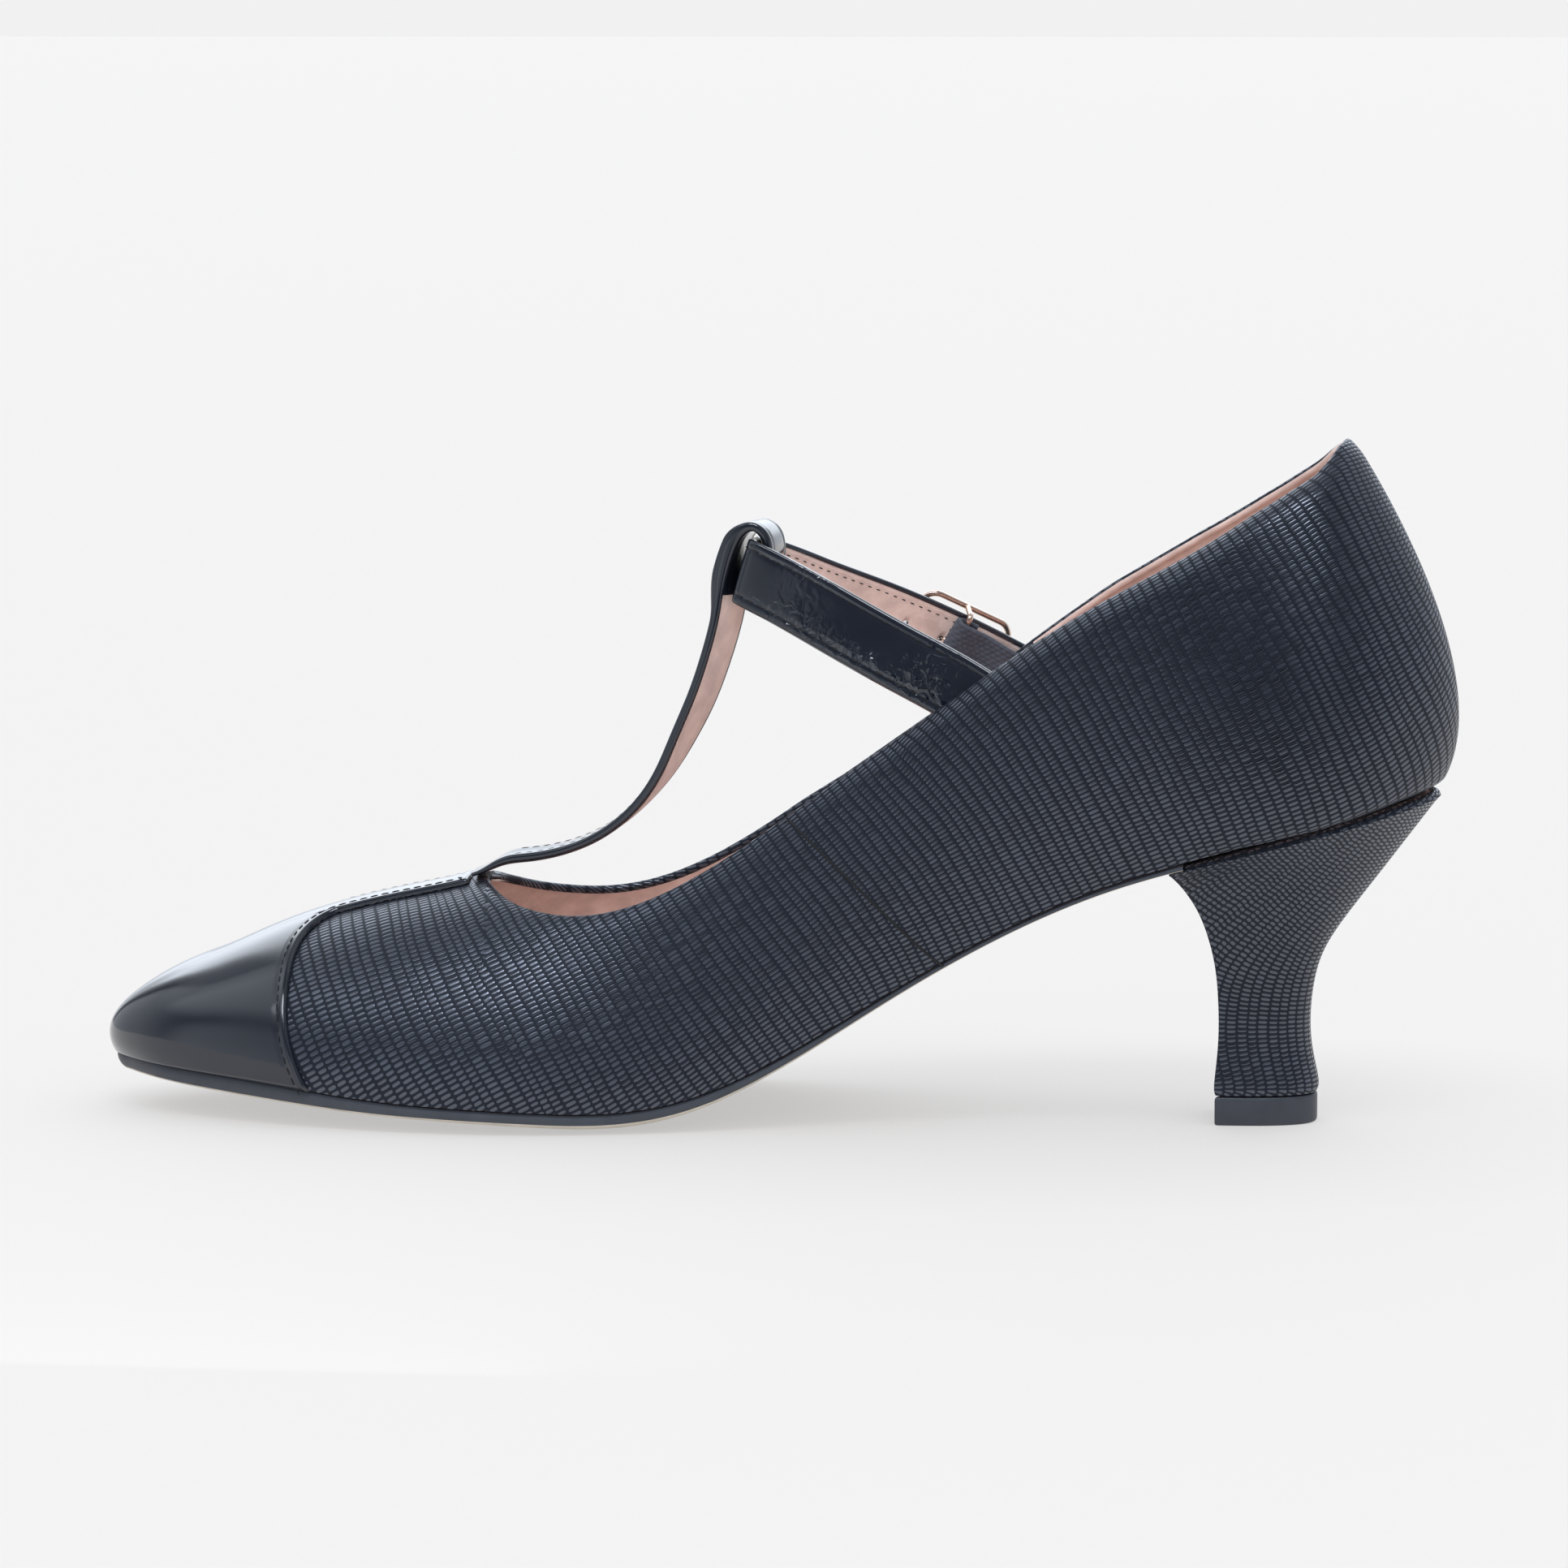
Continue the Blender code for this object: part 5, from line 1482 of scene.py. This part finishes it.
def make_heel():
    """Covered spool heel; the cover's columns follow the heel's back line."""
    count = 97
    table = open_spline(range(len(HEEL)), [list(level) for level in HEEL])
    rings = [heel_ring(level, count) for level in table(np.linspace(0, len(HEEL) - 1, 90))]
    seat, front = feather(LAST_STATION), feather(BREAST_STATION)
    widest = np.abs(feather(np.linspace(BREAST_STATION, LAST_STATION, 40))[:, 1]).max()
    rim = (BREAST_X, front[2] - CLEARANCE, seat[0] + 0.2, seat[2] - CLEARANCE, widest, 1.0)
    last = heel_ring(rim, count)
    # the cover rolls over at its rim
    for lift, drawn in RIM_ROLL:
        ring = last.copy()
        ring[:, :2] = ring[:, :2] + drawn * (RIM_MIDDLE - ring[:, :2])
        ring[:, 2] += lift
        rings.append(ring)
    rings = np.array(rings)
    levels, width = rings.shape[:2]
    skin = rings[:, :count]
    around = np.stack([run_of(row) for row in skin])
    around = HEEL_CLOSER[0] * (around - around[:, count // 2, None])
    along = HEEL_CLOSER[1] * np.cumsum(
        np.concatenate([np.zeros((1, count)), np.linalg.norm(np.diff(skin, axis=0), axis=2)]), axis=0
    )
    shear = shear_of(skin, around, along)
    # the cover goes on over the breast, where its ends meet in the middle
    half = (width - count) // 2
    right, left = rings[:, count : count + half], rings[:, count + half :]
    right = around[:, -1:] + np.linalg.norm(right - skin[:, -1:], axis=2)
    left = around[:, :1] - np.linalg.norm(left - skin[:, :1], axis=2)
    marks = {
        "column": np.concatenate([around, right, left], axis=1) + HEEL_COLUMN_START,
        "along": np.concatenate([along] + [np.repeat(along[:, [k]], half, axis=1) for k in (-1, 0)], axis=1),
        "shear": np.concatenate([shear, np.zeros((levels, 2 * half))], axis=1),
    }
    faces = capped_faces(levels, width)
    made = piece("heel_cover", rings.reshape(-1, 3), faces, ["foiled_leather"], marks=marks)
    return settle(made, "heel")


def make_top_lift():
    """Top lift with a rounded tread edge and a fine groove under the heel cover."""
    foot = HEEL[0]
    overhang = 0.2
    rings = []
    for z, inset in (
        (0.0, 0.45),
        (0.12, 0.2),
        (0.4, 0.02),
        (0.9, 0.0),
        (TOP_LIFT_HEIGHT - 0.7, 0.0),
        (TOP_LIFT_HEIGHT - 0.25, 0.06),
        (TOP_LIFT_HEIGHT, 0.3),
    ):
        front, back = foot.front_x - overhang + inset, foot.back_x + overhang - inset
        rings.append(heel_ring((front, z, back, z, foot.half_width - inset, 0.0), 73))
    rings = np.array(rings)
    made = piece("top_lift_rubber", rings.reshape(-1, 3), capped_faces(*rings.shape[:2]), ["moulded_rubber"])
    return settle(made, "top_lift")


# Stitches

# Stitches are longer on the ankle strap's face; on its lining they are small dots, set further in
ANKLE_STITCH = 1.15
DOT_PITCH, DOT_LENGTH, DOT_THREAD, DOT_INSET = 0.9, 0.55, 0.85, 0.35

# Where the rows start and end along the straps, and how far they sink into them
T_STITCH_START, T_STITCH_END = 9.0, 20.0
ANKLE_STITCH_START = 2.0
STITCH_SUNK = 0.05


def stitch_tree():
    """A tree that lays stitches of one thread along a row of points."""
    tree = bpy.data.node_groups.new("stitch_row", "GeometryNodeTree")
    side = tree.interface
    side.new_socket("Seam", in_out="INPUT", socket_type="NodeSocketGeometry")
    for name in ("Pitch", "Length", "Thickness"):
        side.new_socket(name, in_out="INPUT", socket_type="NodeSocketFloat")
    side.new_socket("Thread", in_out="INPUT", socket_type="NodeSocketMaterial")
    side.new_socket("Stitches", in_out="OUTPUT", socket_type="NodeSocketGeometry")
    given = add(tree, "NodeGroupInput").node.outputs
    spaced = {"Curve": given["Seam"], "Length": given["Pitch"]}
    even = add(tree, "GeometryNodeResampleCurve", spaced, mode="LENGTH")
    bead = add(tree, "GeometryNodeMeshUVSphere", {"Segments": 8, "Rings": 6, "Radius": 0.5})
    bead = add(tree, "GeometryNodeSetShadeSmooth", {0: bead})
    tangent = add(tree, "GeometryNodeInputTangent")
    turn = add(tree, "FunctionNodeAlignRotationToVector", {"Vector": tangent}, axis="Z")
    scale = add(
        tree, "ShaderNodeCombineXYZ", {0: given["Thickness"], 1: given["Thickness"], 2: given["Length"]}
    )
    laid = add(
        tree,
        "GeometryNodeInstanceOnPoints",
        {"Points": even, "Instance": bead, "Rotation": turn, "Scale": scale},
    )
    real = add(tree, "GeometryNodeRealizeInstances", {0: laid})
    dyed = add(tree, "GeometryNodeSetMaterial", {"Geometry": real, "Material": given["Thread"]})
    add(tree, "NodeGroupOutput", {"Stitches": dyed})
    return tree


def stitch_row(name, lines, pitch, length, thickness):
    """Stitches along some lines of points in millimetres, as one piece."""
    curve = bpy.data.curves.new(name, "CURVE")
    curve.dimensions = "3D"
    for line in lines:
        places = (np.asarray(line) - DRAWING_MIDDLE) * MM
        route = curve.splines.new("POLY")
        route.points.add(len(places) - 1)
        route.points.foreach_set("co", np.column_stack([places, np.ones(len(places))]).ravel())
    drawn = bpy.data.objects.new(name, curve)
    bpy.context.scene.collection.objects.link(drawn)
    tree = bpy.data.node_groups.get("stitch_row") or stitch_tree()
    sewn = drawn.modifiers.new("stitches", "NODES")
    sewn.node_group = tree
    given = {"Pitch": pitch, "Length": length, "Thickness": thickness, "Thread": material("sewing_thread")}
    for socket in tree.interface.items_tree:
        if socket.in_out == "INPUT" and socket.name in given:
            sewn[socket.identifier] = given[socket.name]
    view = bpy.context.evaluated_depsgraph_get()
    view.update()
    mesh = bpy.data.meshes.new_from_object(drawn.evaluated_get(view))
    bpy.data.objects.remove(drawn)
    mesh.materials.clear()
    mesh.materials.append(material("sewing_thread"))
    made = placed(name, mesh)
    return settle(made, None)


def cap_seam_line(side, inset, height):
    """A line along the cap's edge on one side, drawn in from it."""
    v = np.unique(np.concatenate([cap_rows(side, 220), [1.0]]))
    v = v[v > 0.02]
    u = side * cap_end(v, side)
    edge = wall(u, v)
    normal = wall_normal(u, v)
    along = unit(np.gradient(edge, axis=0))
    inwards = unit(np.cross(normal, along)) * side
    line = edge + inset * inwards
    beside = np.abs(line[:, 1] - crown_at(line[:, 0])[:, 1])
    keep = (line[:, 0] < STRIP_END_X - 0.5) & (beside > T_STRAP_WIDTH / 2 - inset - 0.3)
    return (line + height * normal)[keep]


def strap_lines(path, across, half, inset, lift, start, end):
    """Lines along both edges of a strap, drawn in and lifted out of its middle."""
    _, across, out = strap_frame(path, across)
    run = run_of(path)
    keep = (run > start) & (run < run[-1] - end)
    return [(path + (side * (half - inset))[:, None] * across + lift * out)[keep] for side in (-1, 1)]


def make_stitches():
    """All rows of stitches: cap and strip, T-strap, and both faces of the ankle strap."""
    s = sizes()
    inset = s.stitch_inset / MM
    cap = [cap_seam_line(side, inset, CLEARANCE + CAP_THICKNESS - CAP_GROOVE) for side in (1, -1)]
    stitch_row("cap_stitches", cap, s.stitch_pitch, s.stitch_length, s.thread)
    t_path = t_strap_path()
    run = run_of(t_path[0])
    over_top = run[-1] - run[np.argmax(t_path[0][:, 2])]
    face = T_STRAP_THICKNESS / 2 - STITCH_SUNK
    t_lines = strap_lines(*t_path, inset, face, T_STITCH_START, over_top + T_STITCH_END)
    stitch_row("t_strap_stitches", t_lines, s.stitch_pitch, s.stitch_length, s.thread)
    a_path = ankle_strap_path()
    face = STRAP_THICKNESS / 2 - STITCH_SUNK
    a_lines = strap_lines(*a_path, inset, face, ANKLE_STITCH_START, STRAP_TIP)
    pitch, length = s.stitch_pitch * ANKLE_STITCH, s.stitch_length * ANKLE_STITCH
    stitch_row("ankle_strap_stitches", a_lines, pitch, length, s.thread)
    dots = strap_lines(*a_path, inset + DOT_INSET, -STRAP_THICKNESS / 2, ANKLE_STITCH_START, STRAP_TIP)
    pitch, length = s.stitch_pitch * DOT_PITCH, s.stitch_length * DOT_LENGTH
    stitch_row("strap_lining_stitches", dots, pitch, length, s.thread * DOT_THREAD)


# Stage

# Brightness of the room by the cosine of the angle from its dark side, where the photographer stands
DARK_SIDE = (-0.1, -0.88, 0.46)
ROOM = ((-1.0, 0.9), (0.1, 0.9), (0.35, 0.75), (0.55, 0.5), (0.74, 0.26), (0.84, 0.08), (1.0, 0.04))

# Softboxes, and the gaps between them, by the range of directions that they fill
Softbox = namedtuple("Softbox", "x y z side_blur blur strength")
SOFTBOXES = (
    Softbox((-0.51, 0.40), (0.25, None), (0.34, 0.74), 0.05, 0.20, 1.8),  # behind and above
    Softbox((-0.43, 0.40), (0.25, None), (0.14, 0.36), 0.08, 0.14, 0.9),  # its lower part
    Softbox((None, -0.40), (None, 0.15), (0.64, None), 0.20, 0.20, 0.6),  # left and above
    Softbox((None, -0.56), (-0.40, None), (-0.10, 0.60), 0.06, 0.20, -0.32),  # dimmer left
    Softbox((-0.62, -0.53), (0.25, None), (None, None), 0.05, 0.09, -0.55),  # dark gap beside the one behind
    Softbox((-0.18, 0.30), (-0.57, -0.36), (0.70, None), 0.10, 0.06, 11.0),  # strip overhead
    Softbox((-0.60, -0.18), (-0.57, -0.36), (0.70, None), 0.10, 0.06, 1.6),  # its weaker end
    Softbox((0.20, 0.46), (None, -0.70), (0.10, 0.50), 0.08, 0.08, 0.7),  # window beside the photographer
    Softbox((None, -0.40), (None, -0.35), (None, 0.50), 0.30, 0.25, 0.38),  # wall on the left
    Softbox((0.60, None), (None, None), (0.20, None), 0.25, 0.25, -0.35),  # dimmer right
    Softbox((-0.70, None), (-0.32, None), (0.84, None), 0.10, 0.10, -0.35),  # dimmer ceiling
    Softbox((-0.45, None), (None, -0.30), (None, 0.0), 0.10, 0.10, -0.3),  # beyond the table's edge
)
LIGHT_TINT = (0.89, 0.95, 1.035)

# The floor's reach and its near edge, in metres
FLOOR_REACH, FLOOR_FRONT = 40.0, 0.42

# Painted shadow on the floor: how far above it something dims the table's glow, how open it is at its
# darkest and where the painted shadow ends, and the share of glow left
PAINTED_SHADE_REACH, PAINTED_SHADE_OPEN, PAINTED_SHADE_LIGHT = 0.09, (0.2, 0.85), 0.64

SENSOR_WIDTH = 36.0


def make_floor(stage):
    """Pale light table: paper with some light from below, so that shadows stay soft."""
    reach, front = FLOOR_REACH, FLOOR_FRONT
    mesh = bpy.data.meshes.new("floor")
    corners = [(-reach, -front, 0), (reach, -front, 0), (reach, reach, 0), (-reach, reach, 0)]
    mesh.from_pydata(corners, [], [(0, 1, 2, 3)])
    floor = bpy.data.objects.new("floor", mesh)
    bpy.context.scene.collection.objects.link(floor)
    paper, tree, shader = finish("floor_paper", Roughness=0.9, Specular_IOR_Level=0.1)
    shader.inputs["Base Color"].default_value = (*stage.paper, 1.0)
    shader.inputs["Emission Color"].default_value = (*stage.backdrop, 1.0)
    # painted shadow: an occlusion test dims the table's glow where the shoe stands close above it
    clear = add(tree, "ShaderNodeAmbientOcclusion", {"Distance": PAINTED_SHADE_REACH}, output=1, samples=3)
    clear = {"Value": clear, "From Min": PAINTED_SHADE_OPEN[0], "From Max": PAINTED_SHADE_OPEN[1]}
    light = {"To Min": PAINTED_SHADE_LIGHT * stage.table_light, "To Max": stage.table_light}
    lit = add(tree, "ShaderNodeMapRange", {**clear, **light})
    tree.links.new(lit, shader.inputs["Emission Strength"])
    mesh.materials.append(paper)


def make_world(stage):
    """White room with softboxes, seen by the camera as a plain backdrop."""
    world = bpy.data.worlds.new("studio")
    bpy.context.scene.world = world
    world.use_nodes = True
    tree = world.node_tree
    tree.nodes.clear()
    way = add(tree, "ShaderNodeTexCoord", output=0)
    axes = add(tree, "ShaderNodeSeparateXYZ", {0: way}).node.outputs
    facing = add(tree, "ShaderNodeVectorMath", {0: way, 1: DARK_SIDE}, operation="DOT_PRODUCT", output=1)
    share = add(tree, "ShaderNodeMapRange", {"Value": facing, "From Min": -1.0, "From Max": 1.0})
    glow = add(tree, "ShaderNodeValToRGB", {"Fac": share}).node
    stops = glow.color_ramp.elements
    while len(stops) < len(ROOM):
        stops.new(0.5)
    for stop, (turned, value) in zip(stops, ROOM):
        stop.position = (turned + 1) / 2
        stop.color = (value, value, value, 1.0)
    room = glow.outputs[0]
    for box in SOFTBOXES:
        fill = box.strength
        blurs = (box.side_blur, box.blur, box.blur)
        for axis, blur, (low, high) in zip(axes, blurs, (box.x, box.y, box.z)):
            for limit, way_in in ((low, 1), (high, -1)):
                if limit is not None:
                    half = way_in * blur / 2
                    edge = add(
                        tree,
                        "ShaderNodeMapRange",
                        {"Value": axis, "From Min": limit - half, "From Max": limit + half},
                        interpolation_type="SMOOTHSTEP",
                    )
                    fill = add(tree, MATH, {0: edge, 1: fill}, operation="MULTIPLY")
        room = add(tree, MATH, {0: room, 1: fill}, operation="ADD")
    light = add(tree, "ShaderNodeVectorMath", {0: LIGHT_TINT, "Scale": room}, operation="SCALE")
    lit = add(tree, "ShaderNodeBackground", {"Color": light, "Strength": stage.brightness})
    seen = add(tree, "ShaderNodeBackground", {"Color": (*stage.backdrop, 1.0), "Strength": 1.0})
    path = add(tree, "ShaderNodeLightPath", output=0)
    both = add(tree, "ShaderNodeMixShader", {0: path, 1: lit, 2: seen})
    add(tree, "ShaderNodeOutputWorld", {0: both})


def area_light(name, size, strength, place, target):
    """A flat light turned to a target and unseen by the camera; its face is as bright as its strength."""
    lamp = bpy.data.lights.new(name, "AREA")
    lamp.shape = "RECTANGLE"
    lamp.size, lamp.size_y = size
    lamp.energy = strength * math.pi * size[0] * size[1]
    lamp.color = LIGHT_TINT
    held = bpy.data.objects.new(name, lamp)
    held.location = place
    held.rotation_euler = (Vector(place) - Vector(target)).to_track_quat("Z", "Y").to_euler()
    held.visible_camera = False
    bpy.context.scene.collection.objects.link(held)
    return held


def make_stage():
    """Pale floor, soft light from above and behind, and the camera at the photograph's angle."""
    scene = bpy.context.scene
    stage = scene.pump_stage
    scene.view_settings.view_transform = "Standard"
    make_floor(stage)
    make_world(stage)
    # a low white card before the toe lights the vamp and the waist
    area_light("card", (0.19, 0.12), stage.card_light, (-0.10, -0.25, 0.062), (-0.10, 0.0, 0.062))
    # a broad fill from the photographer's side, which leaves the shine alone
    fill = area_light("fill", (1.2, 0.8), stage.fill_light, (0.1, -1.5, 0.8), (0.0, 0.0, 0.05))
    fill.visible_glossy = False
    azimuth, elevation = stage.azimuth, stage.elevation
    level = math.cos(elevation)
    back = Vector((math.sin(azimuth) * level, -math.cos(azimuth) * level, math.sin(elevation)))
    lens = bpy.data.cameras.new("camera")
    lens.sensor_width = SENSOR_WIDTH
    lens.lens = SENSOR_WIDTH * stage.distance / stage.frame_width
    lens.clip_start = 0.05
    lens.clip_end = 200.0
    camera = bpy.data.objects.new("camera", lens)
    camera.location = Vector(stage.target) + stage.distance * back
    camera.rotation_euler = back.to_track_quat("Z", "Y").to_euler()
    scene.collection.objects.link(camera)
    scene.camera = camera


# Add-on


def length_property(name, description, length):
    """A length in metres."""
    return FloatProperty(name=name, description=description, default=length, unit="LENGTH")


def angle_property(name, description, degrees):
    """An angle, given in degrees."""
    return FloatProperty(name=name, description=description, default=math.radians(degrees), subtype="ANGLE")


def light_property(name, description, strength):
    """A strength of light."""
    return FloatProperty(name=name, description=description, default=strength, min=0.0)


def colour_property(name, description, code):
    """A colour, given as an sRGB hex code."""
    return FloatVectorProperty(
        name=name, description=description, default=linear(code), size=3, min=0.0, max=1.0, subtype="COLOR"
    )


class PumpSizes(PropertyGroup):
    """Sizes of the finish that a user would change."""

    column_pitch: length_property("Column pitch", "Width of one embossed column", 2.1 * MM)
    pad_pitch: length_property("Pad pitch", "Distance between pads in a column", 0.92 * MM)
    fold_radius: length_property("Topline roll", "Height of the rolled topline edge", 0.7 * MM)
    stitch_inset: length_property("Stitch inset", "Distance of stitches from an edge", 1.7 * MM)
    stitch_pitch: length_property("Stitch pitch", "Distance between stitches", 2.0 * MM)
    stitch_length: length_property("Stitch length", "Length of one stitch", 1.5 * MM)
    thread: length_property("Thread", "Thickness of the thread", 0.28 * MM)
    elastic_yarn: length_property("Elastic yarn", "Width of one rib of the elastic", 0.82 * MM)


class PumpColours(PropertyGroup):
    """Colours of the finishes."""

    ground: colour_property("Ground", "Leather between the pads", "#11151e")
    foil: colour_property("Foil", "Pads pressed onto the leather", "#141922")
    patent: colour_property("Patent", "Leather under the lacquer", "#1d212a")
    lining: colour_property("Lining", "Lining and insole leather", "#f6d7cb")
    sole_edge: colour_property("Sole edge", "Paint of the sole's edge", "#3b3f47")
    sole: colour_property("Sole", "Tread leather", "#cfc6b8")
    rubber: colour_property("Top lift", "Rubber of the top lift", "#393c44")
    thread: colour_property("Thread", "Sewing thread", "#101115")
    elastic: colour_property("Elastic", "Yarn of the elastic", "#474b56")
    metal: colour_property("Metal", "Plating of the buckle", "#ead0c0")


class PumpStage(PropertyGroup):
    """Camera and light."""

    azimuth: angle_property("Azimuth", "Camera's turn about the shoe", 7.0)
    elevation: angle_property("Elevation", "Camera's angle above the floor", 6.5)
    distance: length_property("Distance", "Camera's distance from its target", 1.25)
    frame_width: length_property("Frame width", "Width of the view at the target", 0.28597)
    target: FloatVectorProperty(
        name="Target", description="Where the camera points", default=(0.0011, 0.0001, 0.06), subtype="XYZ"
    )
    backdrop: colour_property("Backdrop", "Background behind the floor", "#f1f1f1")
    paper: colour_property("Paper", "Paper of the floor", "#6a6562")
    table_light: light_property("Table light", "Light from below the floor", 0.825)
    card_light: light_property("Card light", "Brightness of the card before the toe", 0.75)
    fill_light: light_property("Fill light", "Brightness of the fill from the front", 2.8)
    brightness: light_property("Brightness", "Strength of the room's light", 1.0)


class PUMP_OT_upper(Operator):
    """Makes the embossed upper with its lining and side seams"""

    bl_idname = "pump.upper"
    bl_label = "Upper"

    def execute(self, context):
        make_upper()
        make_side_seams()
        return {"FINISHED"}


class PUMP_OT_toe_cap(Operator):
    """Makes the patent toe cap and vamp strip"""

    bl_idname = "pump.toe_cap"
    bl_label = "Toe cap"

    def execute(self, context):
        make_toe_cap()
        return {"FINISHED"}


class PUMP_OT_straps(Operator):
    """Makes the T-strap and the ankle strap"""

    bl_idname = "pump.straps"
    bl_label = "Straps"

    def execute(self, context):
        make_t_strap()
        make_ankle_strap()
        return {"FINISHED"}


class PUMP_OT_buckle(Operator):
    """Makes the buckle and its elastic tab"""

    bl_idname = "pump.buckle"
    bl_label = "Buckle"

    def execute(self, context):
        make_buckle_frame()
        make_buckle_prong()
        make_elastic()
        return {"FINISHED"}


class PUMP_OT_sole(Operator):
    """Makes the outsole and the insole"""

    bl_idname = "pump.sole"
    bl_label = "Sole"

    def execute(self, context):
        make_outsole()
        make_insole()
        return {"FINISHED"}


class PUMP_OT_heel(Operator):
    """Makes the covered heel and its top lift"""

    bl_idname = "pump.heel"
    bl_label = "Heel"

    def execute(self, context):
        make_heel()
        make_top_lift()
        return {"FINISHED"}


class PUMP_OT_stitches(Operator):
    """Sews all rows of stitches"""

    bl_idname = "pump.stitches"
    bl_label = "Stitches"

    def execute(self, context):
        make_stitches()
        return {"FINISHED"}


class PUMP_OT_stage(Operator):
    """Sets the floor, the light and the camera"""

    bl_idname = "pump.stage"
    bl_label = "Stage"

    def execute(self, context):
        make_stage()
        return {"FINISHED"}


STEPS = (
    PUMP_OT_stage,
    PUMP_OT_upper,
    PUMP_OT_toe_cap,
    PUMP_OT_straps,
    PUMP_OT_buckle,
    PUMP_OT_sole,
    PUMP_OT_heel,
    PUMP_OT_stitches,
)


class PUMP_PT_panel(Panel):
    """Lists the steps and their settings"""

    bl_idname = "PUMP_PT_panel"
    bl_label = "T-strap Pump"
    bl_space_type = "VIEW_3D"
    bl_region_type = "UI"
    bl_category = "Pump"

    def draw(self, context):
        layout = self.layout
        for step in STEPS:
            layout.operator(step.bl_idname)
        for group in (context.scene.pump_sizes, context.scene.pump_colours, context.scene.pump_stage):
            box = layout.box()
            for name in group.__annotations__:
                box.prop(group, name)


CLASSES = (PumpSizes, PumpColours, PumpStage, *STEPS, PUMP_PT_panel)


def register():
    for made in CLASSES:
        bpy.utils.register_class(made)
    bpy.types.Scene.pump_sizes = PointerProperty(type=PumpSizes)
    bpy.types.Scene.pump_colours = PointerProperty(type=PumpColours)
    bpy.types.Scene.pump_stage = PointerProperty(type=PumpStage)


def unregister():
    del bpy.types.Scene.pump_stage, bpy.types.Scene.pump_colours, bpy.types.Scene.pump_sizes
    for made in reversed(CLASSES):
        bpy.utils.unregister_class(made)


def main():
    register()
    for step in (
        bpy.ops.pump.stage,
        bpy.ops.pump.upper,
        bpy.ops.pump.toe_cap,
        bpy.ops.pump.straps,
        bpy.ops.pump.buckle,
        bpy.ops.pump.sole,
        bpy.ops.pump.heel,
        bpy.ops.pump.stitches,
    ):
        step()


if __name__ == "__main__":
    main()
